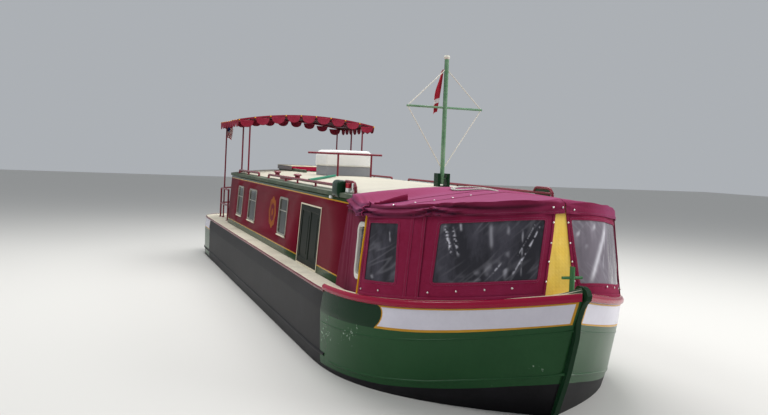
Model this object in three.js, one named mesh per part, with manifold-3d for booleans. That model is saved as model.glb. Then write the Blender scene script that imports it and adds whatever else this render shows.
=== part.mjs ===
// A steel canal cruiser of the narrowboat kind, 12.5 m long and 3.1 m wide.
// Millimetres, +X towards the bow, +Y to port, +Z up. The origin is on the bottom plate, under the middle.
// Lengths along the boat are given as "aft", the distance behind the stem head.
import * as THREE from "three";
import { mergeVertices } from "three/addons/utils/BufferGeometryUtils.js";
import Module from "manifold-3d";

const wasm = await Module();
wasm.setup();

// Driving dimensions
const boatLength = 12500;
const draught = 600;
const seam = 0.3;
const deckHeight = draught + 780;
const plateThickness = 50;

const hullJoint = { fore: 2422, aft: 10098 };
const cabin = {
  front: 2360,
  back: 10100,
  wall: 45,
  footHalfWidth: 1290,
  eaveHalfWidth: 1235,
  eaveHeight: draught + 1690,
  crownHeight: draught + 1785,
  floorHeight: 250,
};
const well = { front: 720, back: 2360, floorHeight: draught + 120 };
const doorHalf = 320;
const frontDoorLow = well.floorHeight + 60;
const backDoorLow = deckHeight + 50;
const engineBay = { front: 10150, back: 10850, halfWidth: 380, floorHeight: 300 };

// The hull's lines from the bottom plate to the deck. Each row: height at mid length, how much it rises to
// the stem, where it starts behind the stem head, how long and how full its entry is, its half width, and
// where it ends aft.
const hullLines = [
  { height: 0, rise: 0, stem: 1000, entry: 2700, fullness: 2.7, half: 1400, stern: 11250, swim: 2400 },
  { height: 70, rise: 0, stem: 930, entry: 2700, fullness: 2.8, half: 1440, stern: 11270, swim: 2350 },
  { height: 520, rise: 40, stem: 490, entry: 2650, fullness: 3.1, half: 1500, stern: 11350, swim: 2200 },
  { height: 560, rise: 60, stem: 470, entry: 2600, fullness: 3.2, half: 1503, stern: 12440, swim: 0 },
  { height: 735, rise: 350, stem: 310, entry: 2600, fullness: 2.9, half: 1515, stern: 12475, swim: 0 },
  { height: 1180, rise: 320, stem: 150, entry: 2600, fullness: 2.75, half: 1522, stern: 12495, swim: 0 },
  { height: deckHeight, rise: 300, stem: 60, entry: 2900, fullness: 3.0, half: 1500, stern: 12500, swim: 0 },
];
const sheerLength = 2900;
const sheerPower = 3.3;
const deckCrown = 120;
const sternRound = { length: 1150, power: 2.6, flatHalf: 380 };
const stemHalf = 22;
const skegHalf = 30;
const hullSteps = 34;

// Shapes
const xAt = (aft) => boatLength / 2 - aft;

function solid(geometry) {
  const bare = geometry.clone();
  bare.deleteAttribute("normal");
  bare.deleteAttribute("uv");
  const merged = mergeVertices(bare, 1e-4);
  return new wasm.Manifold(
    new wasm.Mesh({
      numProp: 3,
      vertProperties: new Float32Array(merged.attributes.position.array),
      triVerts: new Uint32Array(merged.index.array),
    }),
  );
}

// A block between two distances aft, two sideways places and two heights.
function block(aftFrom, aftTo, yFrom, yTo, zFrom, zTo) {
  const geometry = new THREE.BoxGeometry(aftTo - aftFrom, yTo - yFrom, zTo - zFrom);
  geometry.translate((xAt(aftFrom) + xAt(aftTo)) / 2, (yFrom + yTo) / 2, (zFrom + zTo) / 2);
  return solid(geometry);
}

// An outline of [y, z] points carried from one distance aft to another.
function alongBoat(outline, aftFrom, aftTo) {
  const shape = new THREE.Shape(outline.map(([y, z]) => new THREE.Vector2(y, z)));
  const geometry = new THREE.ExtrudeGeometry(shape, { depth: aftTo - aftFrom, bevelEnabled: false });
  geometry.applyMatrix4(new THREE.Matrix4().makeBasis(
    new THREE.Vector3(0, 1, 0), new THREE.Vector3(0, 0, 1), new THREE.Vector3(1, 0, 0)));
  geometry.translate(xAt(aftTo), 0, 0);
  return solid(geometry);
}

// An outline of [aft, z] points carried sideways from one place to another.
function acrossBoat(outline, yFrom, yTo) {
  const shape = new THREE.Shape(outline.map(([aft, z]) => new THREE.Vector2(xAt(aft), z)));
  const geometry = new THREE.ExtrudeGeometry(shape, { depth: yTo - yFrom, bevelEnabled: false });
  geometry.rotateX(Math.PI / 2);
  geometry.translate(0, yTo, 0);
  return solid(geometry);
}

// A round bar through [aft, y, z] points, mitred at each bend.
function bar(points, diameter, sides = 8) {
  const places = points.map(([aft, y, z]) => new THREE.Vector3(xAt(aft), y, z));
  const runs = places.slice(1).map((place, i) => place.clone().sub(places[i]).normalize());
  const steep = Math.abs(runs[0].z) > 0.9 ? new THREE.Vector3(0, 1, 0) : new THREE.Vector3(0, 0, 1);
  const across = new THREE.Vector3().crossVectors(steep, runs[0]).normalize();
  const up = new THREE.Vector3().crossVectors(runs[0], across);
  let ring = [];
  for (let i = 0; i < sides; i += 1) {
    const turn = (2 * Math.PI * (i + 0.5)) / sides;
    ring.push(places[0].clone()
      .addScaledVector(across, Math.cos(turn) * diameter / 2)
      .addScaledVector(up, Math.sin(turn) * diameter / 2));
  }
  const rings = [ring];
  runs.forEach((run, i) => {
    const next = places[i + 1];
    const facing = i + 1 < runs.length ? run.clone().add(runs[i + 1]).normalize() : run;
    ring = ring.map((point) => {
      const distance = next.clone().sub(point).dot(facing) / run.dot(facing);
      return point.clone().addScaledVector(run, distance);
    });
    rings.push(ring);
  });
  return skinned(rings.map((one) => one.map((point) => point.toArray())));
}

// A turned form from [radius, height] points, standing at a place.
function turned(profile, aft, y, z, sides = 16) {
  const geometry = new THREE.LatheGeometry(profile.map(([r, h]) => new THREE.Vector2(r, h)), sides);
  geometry.rotateX(Math.PI / 2);
  geometry.translate(xAt(aft), y, z);
  return solid(geometry);
}

// Closed rings of [x, y, z] points with equal counts, skinned from the first ring to the last.
function skinned(rings) {
  const count = rings[0].length;
  const positions = rings.flat(2);
  const faces = [];
  for (let ring = 0; ring + 1 < rings.length; ring += 1) {
    for (let i = 0; i < count; i += 1) {
      const here = ring * count + i;
      const next = ring * count + ((i + 1) % count);
      faces.push(here, next, next + count, here, next + count, here + count);
    }
  }
  const top = (rings.length - 1) * count;
  for (let i = 0; i < count / 2 - 1; i += 1) {
    const far = count - 1 - i;
    faces.push(i, far, far - 1, i, far - 1, i + 1);
    faces.push(top + i, top + far - 1, top + far, top + i, top + i + 1, top + far - 1);
  }
  const geometry = new THREE.BufferGeometry();
  geometry.setAttribute("position", new THREE.Float32BufferAttribute(positions, 3));
  geometry.setIndex(faces);
  return solid(geometry);
}

function sheerRise(aft) {
  return Math.pow(Math.max(0, 1 - aft / sheerLength), sheerPower);
}

function lineHalf(line, aft) {
  const run = Math.min(1, Math.max(0, (aft - line.stem) / line.entry));
  let half = Math.max(stemHalf, line.half * (1 - Math.pow(1 - run, line.fullness)));
  if (line.swim > 0) {
    const left = Math.min(1, Math.max(0, (line.stern - aft) / line.swim));
    half = Math.min(half, skegHalf + (line.half - skegHalf) * Math.sin(left * Math.PI / 2));
  } else {
    const gone = Math.min(1, Math.max(0, (aft - line.stern + sternRound.length) / sternRound.length));
    const round = Math.pow(1 - Math.pow(gone, sternRound.power), 1 / sternRound.power);
    half = Math.min(half, sternRound.flatHalf + (line.half - sternRound.flatHalf) * round);
  }
  return half;
}

// A line between two rows of the table, so that bands on the hull can lie at any level.
function lineBetween(level) {
  const low = Math.min(hullLines.length - 2, Math.floor(level));
  const part = level - low;
  const mixed = {};
  for (const key of Object.keys(hullLines[0])) {
    mixed[key] = hullLines[low][key] * (1 - part) + hullLines[low + 1][key] * part;
  }
  return mixed;
}

// A closed ring from its port half, mirrored to starboard.
function mirrored(port) {
  return [...port, ...port.map(([x, y, z]) => [x, -y, z]).reverse()];
}

// The hull form through the given lines, grown or shrunk sideways by an offset. A crown rounds the foredeck.
function hullForm(lines, offset, crown = 0) {
  const sides = lines.map((line) => {
    const side = [];
    const from = line.stem - offset;
    const to = line.stern + offset;
    for (let i = 0; i <= hullSteps; i += 1) {
      const even = i / hullSteps;
      const spread = 0.5 - 0.5 * Math.cos(Math.PI * even);
      const share = 0.55 * spread + 0.45 * even;
      const aft = from + (to - from) * share;
      const inner = Math.min(line.stern, Math.max(line.stem, aft));
      const half = Math.max(4, lineHalf(line, inner) + offset);
      side.push([xAt(aft), half, line.height + line.rise * sheerRise(aft)]);
    }
    return side;
  });
  if (crown > 0) {
    const edge = sides[sides.length - 1];
    for (const share of [0.75, 0.5, 0.2]) {
      sides.push(edge.map(([x, y, z]) => [
        x, y * share, z + crown * (1 - share * share) * sheerRise(boatLength / 2 - x)]));
    }
  }
  return skinned(sides.map(mirrored));
}

const nodes = [];
function add(name, shape, colour, roughness, metalness = 0) {
  nodes.push({ name, shape, colour, roughness, metalness });
  return shape;
}
const paint = {
  hull: 0x2c4a30,
  deck: 0xe6dec6,
  rail: 0x8e1230,
  maroon: 0x6a2034,
  canvas: 0x7d1f3f,
  yellow: 0xe9c64c,
  green: 0x2f5a36,
  white: 0xe8e8e4,
  steel: 0x8c8f90,
  bronze: 0xa8803c,
  engine: 0x4a5a50,
  glass: 0x39444a,
  wood: 0x8a5a30,
};

// Hull
const deckLine = lineBetween(hullLines.length - 1);
const outerHull = hullForm(hullLines, 0, deckCrown);
const innerHull = hullForm([...hullLines, { ...deckLine, height: deckHeight + 400 }], -plateThickness);
const cavityFrom = hullJoint.fore - seam / 2;
const cavityTo = hullJoint.aft + seam / 2;
const wholeHull = outerHull
  .subtract(innerHull.intersect(block(well.front, well.back, -2000, 2000, well.floorHeight, 3000)))
  .subtract(innerHull.intersect(
    block(cavityFrom, cavityTo, -2000, 2000, cabin.floorHeight, deckHeight - plateThickness)))
  .subtract(block(cavityFrom, cavityTo, -cabin.footHalfWidth + cabin.wall,
    cabin.footHalfWidth - cabin.wall, cabin.floorHeight, 3000))
  .subtract(block(well.back - 10, hullJoint.fore + 10, -doorHalf, doorHalf, frontDoorLow, 3000))
  .subtract(block(engineBay.front, engineBay.back, -engineBay.halfWidth, engineBay.halfWidth,
    engineBay.floorHeight, 3000));
const everywhere = 4000;

function hullPiece(aftFrom, aftTo, yFrom, yTo, zFrom, zTo) {
  return wholeHull.intersect(block(aftFrom, aftTo, yFrom, yTo, zFrom, zTo));
}
add("hull_bow", hullPiece(-500, hullJoint.fore - seam, -everywhere, everywhere, -100, everywhere),
  paint.hull, 0.5);
const hullGrown = hullForm(hullLines, seam, deckCrown);
const hullUnderDeck = hullGrown.add(hullGrown.translate([0, 0, seam]));

// The counter stands over the swim, the narrow underwater stern that carries the stern tube and the skeg.
const swimTop = hullLines[2].height;
const shaftClear = 0.9;
const shaft = { height: 300, propellerAft: 11480, diameter: 40, tube: 90 };
const rudder = {
  stockAft: 11900,
  stockDiameter: 46,
  bladeFrom: 11800,
  bladeTo: 12330,
  low: 90,
  high: 500,
};
const shaftBore = bar([[10700, 0, shaft.height], [12000, 0, shaft.height]],
  shaft.diameter + 2 * shaftClear, 12);
const stockHole = bar([[rudder.stockAft, 0, -50], [rudder.stockAft, 0, 3000]],
  rudder.stockDiameter + 2 * shaftClear, 12);
add("hull_stern",
  hullPiece(hullJoint.aft + seam, 13000, -everywhere, everywhere, swimTop + seam, everywhere)
    .subtract(stockHole), paint.hull, 0.5);
add("hull_swim", hullPiece(hullJoint.aft + seam, 13000, -everywhere, everywhere, -100, swimTop)
  .add(bar([[11150, 0, shaft.height], [shaft.propellerAft - 78, 0, shaft.height]], shaft.tube, 12))
  .add(block(11150, 11960, -28, 28, 0, 42))
  .subtract(shaftBore.intersect(block(11150, 12000, -100, 100, 0, 500))), paint.hull, 0.6);
add("hull_bottom", hullPiece(hullJoint.fore, hullJoint.aft, -everywhere, everywhere, -100, cabin.floorHeight),
  paint.hull, 0.6);
for (const [side, way] of [["starboard", -1], ["port", 1]]) {
  const near = Math.min(0, way * everywhere);
  const far = Math.max(0, way * everywhere);
  const sideTop = deckHeight - plateThickness;
  add("hull_side_" + side,
    hullPiece(hullJoint.fore, hullJoint.aft, near, far, cabin.floorHeight + seam, sideTop - seam),
    paint.hull, 0.5);
  add("side_deck_" + side, hullPiece(hullJoint.fore, hullJoint.aft, near, far, sideTop, everywhere),
    paint.deck, 0.7);
}

// A thin rail edges the side decks. Round the bow it becomes a deeper moulding that stands above the deck.
const deckRail = { from: 2410, to: 12100, proud: 12, depth: 32 };
const bowRail = { to: 2400, proud: 26, inner: 40, height: 55, depth: 14, innerFrom: 170 };
function railForm(low, high, offset) {
  const rows = [low, high].map((level) => ({ ...deckLine, height: deckHeight + level }));
  return hullForm(rows, offset);
}
const deckRailRing = railForm(-deckRail.depth, 0, deckRail.proud)
  .subtract(railForm(-deckRail.depth - 5, 5, 0)).subtract(hullGrown);
const insideBowRail = railForm(-200, 200, -bowRail.inner)
  .intersect(block(bowRail.innerFrom, 13000, -2000, 2000, 0, 3000));
const bowRailRing = railForm(-bowRail.depth, bowRail.height, bowRail.proud)
  .subtract(insideBowRail)
  .subtract(hullUnderDeck);
const bowRailGrown = railForm(-bowRail.depth, bowRail.height + seam, bowRail.proud + seam)
  .subtract(railForm(-200, 200, -bowRail.inner - seam));
for (const [side, way] of [["starboard", -1], ["port", 1]]) {
  const near = way > 0 ? stemHalf + seam : -everywhere;
  const far = way > 0 ? everywhere : -stemHalf - seam;
  add("bow_rail_" + side,
    bowRailRing.intersect(block(-500, bowRail.to, near, far, 0, everywhere)), paint.rail, 0.4);
  add("deck_rail_" + side,
    deckRailRing.intersect(block(deckRail.from, deckRail.to, near, far, 0, everywhere)), paint.rail, 0.45);
}

// Stem bar with its scrolled head
const stemBar = acrossBoat([
  [1010, 2], [930, 66], [524, 545], [504, 575], [330, 1070], [190, 1460], [178, 1600], [172, 1735],
  [150, 1758], [60, 1760], [15, 1738], [-8, 1700], [2, 1662], [45, 1628], [95, 1560], [126, 1480],
  [140, 1332], [229, 1041], [278, 916], [395, 654], [440, 570], [460, 540], [850, 66], [900, 2],
], -stemHalf, stemHalf);
add("stem_bar", stemBar.subtract(hullUnderDeck), paint.hull, 0.5);

// Mooring post on the foredeck
const post = { aft: 255, height: 210, diameter: 44, barHalf: 95, barHeight: 120, barDiameter: 26 };
const foredeckHeight = deckHeight + (hullLines[6].rise + deckCrown * 0.96) * sheerRise(post.aft);
add("mooring_post", bar([[post.aft, 0, foredeckHeight - 40], [post.aft, 0, foredeckHeight + post.height]],
  post.diameter, 12)
  .add(bar([[post.aft, -post.barHalf, foredeckHeight + post.barHeight],
    [post.aft, post.barHalf, foredeckHeight + post.barHeight]], post.barDiameter))
  .subtract(hullUnderDeck), paint.green, 0.5);

// Cabin
const cabinRise = cabin.eaveHeight - deckHeight;
const lean = (cabin.footHalfWidth - cabin.eaveHalfWidth) / cabinRise;
const sideWindow = { low: draught + 1030, high: draught + 1510 };
const sideOpenings = {
  starboard: [
    { name: "aft", from: 8670, to: 9150 }, { name: "middle", from: 7450, to: 8050 },
    { name: "fore", from: 5210, to: 5680 },
  ],
  port: [
    { name: "aft", from: 8300, to: 8900 }, { name: "middle", from: 6300, to: 7200 },
    { name: "fore", from: 3900, to: 4800 },
  ],
};
const sideDoor = { from: 3520, to: 4450, low: deckHeight + 20, high: sideWindow.high };

function cabinSection(way, inset, thickness, low, high) {
  const foot = cabin.footHalfWidth - inset - lean * (low - deckHeight);
  const head = cabin.footHalfWidth - inset - lean * (high - deckHeight);
  return [[way * foot, low], [way * head, high], [way * (head - thickness), high],
    [way * (foot - thickness), low]];
}
function wallPanel(way, inset, thickness, low, high, from, to) {
  const section = cabinSection(way, inset, thickness, low, high);
  return alongBoat(way > 0 ? section : section.reverse(), from, to);
}

const wallFoot = deckHeight + seam;
const wallHead = cabin.eaveHeight;
for (const [side, way] of [["starboard", -1], ["port", 1]]) {
  let wall = wallPanel(way, 0, cabin.wall, wallFoot, wallHead, cabin.front, cabin.back);
  for (const opening of sideOpenings[side]) {
    wall = wall.subtract(block(opening.from, opening.to, way > 0 ? 900 : -1500, way > 0 ? 1500 : -900,
      sideWindow.low, sideWindow.high));
    const pane = wallPanel(way, -12, cabin.wall + 12, sideWindow.low + seam, sideWindow.high - seam,
      opening.from + seam, opening.to - seam)
      .subtract(wallPanel(way, 20, cabin.wall, sideWindow.low + 50, sideWindow.high - 50,
        opening.from + 50, opening.to - 50))
      .subtract(wallPanel(way, -20, 34, sideWindow.low + 50, sideWindow.high - 50,
        opening.from + 50, opening.to - 50));
    add("window_" + side + "_" + opening.name, pane, paint.glass, 0.15);
  }
  if (way < 0) {
    wall = wall.subtract(block(sideDoor.from, sideDoor.to, -1500, -900, sideDoor.low, sideDoor.high));
  }
  add("cabin_side_" + side, wall.subtract(hullUnderDeck), paint.maroon, 0.45);
}
const doorGap = 6;
const sideDoorLeaf = wallPanel(-1, -1, 37, sideDoor.low + doorGap, sideDoor.high - doorGap,
  sideDoor.from + seam, sideDoor.to - doorGap);
add("side_door", sideDoorLeaf, paint.maroon, 0.45);

const camber = cabin.crownHeight - cabin.eaveHeight;
const roofOverhang = 16;
function camberAt(y, base) {
  const share = Math.abs(y) / (cabin.eaveHalfWidth + roofOverhang);
  return base + camber * (1 - Math.pow(share, 2.2));
}
const roofSteps = 12;
function roofSection(base, thickness) {
  const half = cabin.eaveHalfWidth + roofOverhang;
  const outline = [];
  for (let i = 0; i <= roofSteps; i += 1) {
    const y = -half + (2 * half * i) / roofSteps;
    outline.push([y, camberAt(y, base)]);
  }
  const under = outline.map(([y, z]) => [y * (half - 1) / half, z - thickness]).reverse();
  return [...under.reverse(), ...outline.reverse()];
}
const roofThickness = 45;
const roofBase = cabin.eaveHeight + roofThickness + seam;
const hatch = { from: 8950, to: 10180, slotFrom: 9200, halfWidth: 330, thickness: 38 };
const roofFront = cabin.front - 60;
const roofBack = cabin.back + 60;
const roofPlate = alongBoat(roofSection(roofBase, roofThickness), roofFront, roofBack);
const roofTop = cabin.crownHeight + roofThickness + seam;
const runner = { inner: 290, width: 30, from: 8040, height: 45 };
const hatchSlot = block(hatch.slotFrom, roofBack + 10, -runner.inner, runner.inner, 2000, 3000);
let roof = roofPlate.subtract(hatchSlot);
for (const way of [-1, 1]) {
  const a = way * runner.inner;
  const b = way * (runner.inner + runner.width);
  roof = roof.add(block(runner.from, roofBack - 20, Math.min(a, b), Math.max(a, b), roofTop - 40,
    roofTop + runner.height));
}
add("cabin_roof", roof, paint.deck, 0.6);
const roofSolid = alongBoat(roofSection(roofBase + seam, roofThickness + 400), roofFront - 10, roofBack + 10);

const wallBetween = cabin.footHalfWidth - cabin.wall - seam;
function bulkhead(from, to, doorLow, doorHigh) {
  const low = deckHeight + seam;
  const high = cabin.eaveHeight;
  const half = (z) => wallBetween - lean * (z - deckHeight);
  const outline = [[-half(low), low], [half(low), low], [half(high), high], [-half(high), high]];
  return alongBoat(outline, from, to)
    .subtract(block(from - 10, to + 10, -doorHalf, doorHalf, doorLow, doorHigh));
}
const frontWall = { from: cabin.front + 6, to: cabin.front + 6 + cabin.wall };
const frontDoorHigh = cabin.eaveHeight - 60;
const backWall = { from: cabin.back - 6 - cabin.wall, to: cabin.back - 6 };
add("cabin_front", bulkhead(frontWall.from, frontWall.to, frontDoorLow, frontDoorHigh)
  .subtract(hullUnderDeck), paint.maroon, 0.5);
add("cabin_back", bulkhead(backWall.from, backWall.to, backDoorLow, everywhere), paint.maroon, 0.5);
const backLeafHigh = cabin.eaveHeight - 12;
const leafThickness = 33;
const leafProud = 6;
for (const [side, way] of [["starboard", -1], ["port", 1]]) {
  const near = Math.min(way * 5, way * (doorHalf - seam));
  const far = Math.max(way * 5, way * (doorHalf - seam));
  const foreFace = cabin.front - leafProud;
  const aftFace = cabin.back + leafProud;
  add("front_door_" + side, block(foreFace, foreFace + leafThickness, near, far,
    frontDoorLow + doorGap, frontDoorHigh - doorGap), paint.wood, 0.5);
  add("back_door_" + side, block(aftFace - leafThickness, aftFace, near, far,
    backDoorLow + doorGap, backLeafHigh), paint.wood, 0.5);
}
const hatchFoot = roofTop + runner.height + seam;
const hatchLip = { thickness: 20, half: runner.inner - 6, drop: 70 };
add("sliding_hatch", block(hatch.from, hatch.to, -hatch.halfWidth, hatch.halfWidth,
  hatchFoot, hatchFoot + hatch.thickness)
  .add(block(hatch.to - hatchLip.thickness, hatch.to, -hatchLip.half, hatchLip.half,
    hatchFoot - hatchLip.drop, hatchFoot + 10)), paint.maroon, 0.5);

// Handrails along the roof
const handrail = { half: 1170, height: 52, diameter: 34 };
const handrailZ = camberAt(handrail.half, roofBase);
const handrailFoot = handrailZ - 20;
function handrailRun(way, runFrom, runTo, posts, hoop) {
  const y = way * handrail.half;
  const top = handrailZ + handrail.height;
  let whole = bar([[runFrom, y, handrailFoot], [runFrom, y, top], [runTo, y, top], [runTo, y, handrailFoot]],
    handrail.diameter);
  for (const at of posts) {
    whole = whole.add(bar([[at, y, top], [at, y, handrailFoot]], handrail.diameter * 0.8));
  }
  if (hoop) {
    whole = whole.add(bar([[hoop.to, y, top], [hoop.to - 40, y, top + hoop.rise],
      [hoop.from + 60, y, top + hoop.rise], [hoop.from, y, top]], handrail.diameter));
    whole = whole.add(block(hoop.from + 40, hoop.to - 30, y - 6, y + 6, handrailZ + 20, top + hoop.rise));
  }
  return whole.subtract(roofSolid);
}
for (const [side, way] of [["starboard", -1], ["port", 1]]) {
  add("handrail_aft_" + side, handrailRun(way, 7750, 9650, [8700], null), paint.rail, 0.45);
  add("handrail_fore_" + side, handrailRun(way, 2500, 6950, [4110, 5050, 5750],
    { from: 2500, to: 2910, rise: 58 }), paint.rail, 0.45);
}

// Roof fittings
const rack = { aft: 6250, middle: -150, barHalf: 585, postHalf: 265, height: 340 };
const rackFoot = roofTop - 40;
const rackTop = roofTop + rack.height;
let rackFrame = bar([[rack.aft, rack.middle - rack.barHalf, rackTop],
  [rack.aft, rack.middle + rack.barHalf, rackTop]], 34);
for (const way of [-1, 1]) {
  const y = way * rack.postHalf;
  rackFrame = rackFrame.add(bar([[rack.aft, y, rackFoot], [rack.aft, y, rackTop]], 30));
}
add("roof_rack", rackFrame.subtract(roofSolid), paint.rail, 0.45);
const roofBox = { from: 6510, to: 7170, half: 380, baseHeight: 140 };
const roofBoxFoot = camberAt(roofBox.half, roofBase);
add("roof_box_base", block(roofBox.from + 20, roofBox.to - 20, -roofBox.half + 20, roofBox.half - 20,
  roofBoxFoot - 10, roofTop + roofBox.baseHeight).subtract(roofSolid), paint.steel, 0.6);
const coverOutline = [
  [-roofBox.half, 0], [roofBox.half, 0], [roofBox.half, 190], [roofBox.half - 60, 255],
  [-roofBox.half + 60, 255], [-roofBox.half, 190],
];
add("roof_box_cover", alongBoat(coverOutline.map(([y, z]) => [y, z + roofTop + roofBox.baseHeight + seam]),
  roofBox.from, roofBox.to), paint.white, 0.5);

// Lowering mast with its crossarm and stays, in a foot on the roof
const mast = {
  aft: 2960,
  diameter: 50,
  height: 1470,
  arm: 0.61,
  armHalf: 465,
  pivotHeight: 90,
  stay: 12,
};
const mastFootTop = roofTop + 150;
const mastCheek = 42;
const mastPivot = roofTop + mast.pivotHeight;
const mastFoot = block(mast.aft - 60, mast.aft + 60, -75, -mastCheek, roofTop - 10, mastFootTop)
  .add(block(mast.aft - 60, mast.aft + 60, mastCheek, 75, roofTop - 10, mastFootTop))
  .add(block(mast.aft - 60, mast.aft + 60, -75, 75, roofTop - 10, roofTop + 12))
  .subtract(roofSolid);
add("mast_foot", mastFoot, paint.green, 0.5);
const mastLow = roofTop + 30;
const mastTop = roofTop + mast.height;
const armHeight = roofTop + mast.height * mast.arm;
const stayTop = mastTop - 130;
const stayLow = roofTop + 190;
add("mast", bar([[mast.aft, 0, mastLow], [mast.aft, 0, mastTop]], mast.diameter, 12)
  .add(bar([[mast.aft, -mastCheek + seam, mastPivot], [mast.aft, mastCheek - seam, mastPivot]], 16))
  .add(turned([[0, -22], [26, -22], [36, 0], [26, 22], [0, 22]], mast.aft, 0, mastTop))
  .add(bar([[mast.aft, -mast.armHalf, armHeight], [mast.aft, mast.armHalf, armHeight]], 26))
  .add(bar([[mast.aft, 0, stayTop], [mast.aft, 8 - mast.armHalf, armHeight], [mast.aft, 0, stayLow]],
    mast.stay, 6))
  .add(bar([[mast.aft, 0, stayTop], [mast.aft, mast.armHalf - 8, armHeight], [mast.aft, 0, stayLow]],
    mast.stay, 6)),
  paint.green, 0.5);
add("pennant", block(mast.aft + 14, mast.aft + 20, -84, -20.6, mastTop - 430, mastTop - 90),
  paint.rail, 0.9);

// Bow canvas over the well, standing on the bow rail. Its edge in plan, from the nose to the cabin: distance
// aft and half width at the foot, and the same at the eave.
const canvas = {
  thickness: 8,
  sideBack: 2340,
  back: 2470,
  eave: draught + 1640,
  noseRise: 245,
  crown: roofTop + 4,
};
const canvasPlan = [
  { aft: 345, foot: 100, eaveAft: 425, eave: 85 },
  { aft: 350, foot: 300, eaveAft: 440, eave: 260 },
  { aft: 450, foot: 510, eaveAft: 530, eave: 450 },
  { aft: 600, foot: 674, eaveAft: 670, eave: 605 },
  { aft: 800, foot: 862, eaveAft: 860, eave: 790 },
  { aft: 1050, foot: 1054, eaveAft: 1100, eave: 975 },
  { aft: 1350, foot: 1225, eaveAft: 1385, eave: 1145 },
  { aft: 1700, foot: 1359, eaveAft: 1720, eave: 1275 },
  { aft: 2150, foot: 1318, eaveAft: 2150, eave: 1270 },
  { aft: 2345, foot: 1300, eaveAft: 2345, eave: 1263 },
];
function canvasEave(aft) {
  return canvas.eave + canvas.noseRise * Math.pow(Math.max(0, 1 - aft / 2200), 2);
}
function canvasFootRing(inset, drop) {
  return mirrored(canvasPlan.map((row) => [xAt(row.aft + inset), row.foot - inset,
    deckHeight + hullLines[6].rise * sheerRise(row.aft) - drop]));
}
function canvasEaveRing(inset, lift) {
  return mirrored(canvasPlan.map((row) => [xAt(row.eaveAft + inset), row.eave - inset,
    canvasEave(row.eaveAft) - 4 + lift]));
}
function canvasBody(inset) {
  return skinned([canvasFootRing(inset, 8), canvasEaveRing(inset, 0)]);
}
const canvasInside = skinned([canvasFootRing(canvas.thickness, 180), canvasFootRing(canvas.thickness, 8),
  canvasEaveRing(canvas.thickness, 0), canvasEaveRing(canvas.thickness, 60)]);
const canvasShell = canvasBody(0).subtract(canvasInside)
  .subtract(block(canvas.sideBack, 4000, -2000, 2000, 0, 4000))
  .subtract(hullUnderDeck)
  .subtract(bowRailGrown);
function frontWedge(grow) {
  return alongBoat([[-260 - grow, 1400], [121 + grow, 1400], [3 + grow, 2500], [-32 - grow, 2500]], 200, 800);
}
add("canvas_front", canvasShell.intersect(frontWedge(0)), paint.yellow, 0.9);
for (const [side, way] of [["starboard", -1], ["port", 1]]) {
  const half = way > 0 ? block(0, 4000, 0, 4000, 0, 4000) : block(0, 4000, -4000, 0, 0, 4000);
  add("canvas_side_" + side, canvasShell.intersect(half).subtract(frontWedge(seam)), paint.canvas, 0.9);
}

// The top runs from the cabin roof forward to the nose. Each row: distance aft, half width at its edge, the
// heights of the edge and the crown, and the bend, from 1 for a straight slope to 2.2 for the roof's camber.
function canvasTopRows(lift) {
  const rows = canvasPlan.slice(0, -1).map((row) => {
    const edge = canvasEave(row.eaveAft);
    const crown = Math.max(edge + 12, canvas.crown);
    const bend = row.eaveAft > 2000 ? 1.5 : 1.15;
    return { aft: row.eaveAft, half: row.eave, edge: edge + lift, crown: crown + lift, bend };
  });
  rows.push({ aft: 2300, half: 1275, edge: roofBase + 4 + lift, crown: roofTop + 14 + lift, bend: 2.2 });
  rows.push({ ...rows[rows.length - 1], aft: canvas.back, edge: roofBase + 8 + lift });
  return rows;
}
function canvasTopRing(rows, outset, share, drop) {
  return mirrored(rows.map(({ aft, half, edge, crown, bend }, i) => {
    const nose = i + 1 < rows.length ? (1 - share) * 60 - outset : 0;
    const z = edge + (crown - edge) * (1 - Math.pow(share, bend)) - drop;
    return [xAt(aft + nose), (half + outset) * share, z];
  }));
}
function canvasTopForm(outset, lift, drop) {
  const rows = canvasTopRows(lift);
  const rings = [canvasTopRing(rows, outset, 1, drop)];
  for (const share of [1, 0.8, 0.55, 0.25]) {
    rings.push(canvasTopRing(rows, outset, share, 0));
  }
  return skinned(rings);
}
const canvasTopOuter = canvasTopForm(12, 0, 80);
const canvasTopInner = canvasTopForm(4, -canvas.thickness, 200);
const cabinFootClear = cabin.footHalfWidth + 1;
const cabinEaveClear = cabin.eaveHalfWidth + roofOverhang + 2;
const cabinAsSolid = alongBoat([
  [-cabinFootClear, deckHeight], [cabinFootClear, deckHeight], [cabinEaveClear, cabin.eaveHeight],
  [cabinEaveClear, roofBase + 2], [-cabinEaveClear, roofBase + 2], [-cabinEaveClear, cabin.eaveHeight],
], roofFront - 4, 4000);
add("canvas_top", canvasTopOuter
  .subtract(canvasTopInner)
  .subtract(canvasBody(-seam).translate([0, 0, seam]))
  .subtract(cabinAsSolid)
  .subtract(roofSolid), paint.canvas, 0.9);

// Stern canopy with its scalloped valance on four poles
const canopy = {
  front: 9200,
  back: 11400,
  half: 1300,
  edgeHeight: draught + 2740,
  crown: 135,
  thickness: 10,
  rim: 30,
  scallop: 125,
  frontScallops: 9,
  sideScallops: 8,
  steps: 12,
};
function canopyZ(y, lift) {
  return canopy.edgeHeight + lift + canopy.crown * (1 - Math.pow(Math.abs(y) / canopy.half, 2));
}
function canopySection(half, lift, depth) {
  const top = [];
  for (let i = 0; i <= canopy.steps; i += 1) {
    const y = half - (2 * half * i) / canopy.steps;
    top.push([y, canopyZ(y, lift)]);
  }
  return [...top.map(([y, z]) => [y, z - depth]).reverse(), ...top];
}
const canopyOuter = alongBoat(canopySection(canopy.half, 0, canopy.rim), canopy.front, canopy.back);
const canopyInner = alongBoat(canopySection(canopy.half - canopy.thickness, -canopy.thickness, 200),
  canopy.front + canopy.thickness, canopy.back - canopy.thickness);
let cover = canopyOuter.subtract(canopyInner);
const scallopSides = 5;
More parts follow.
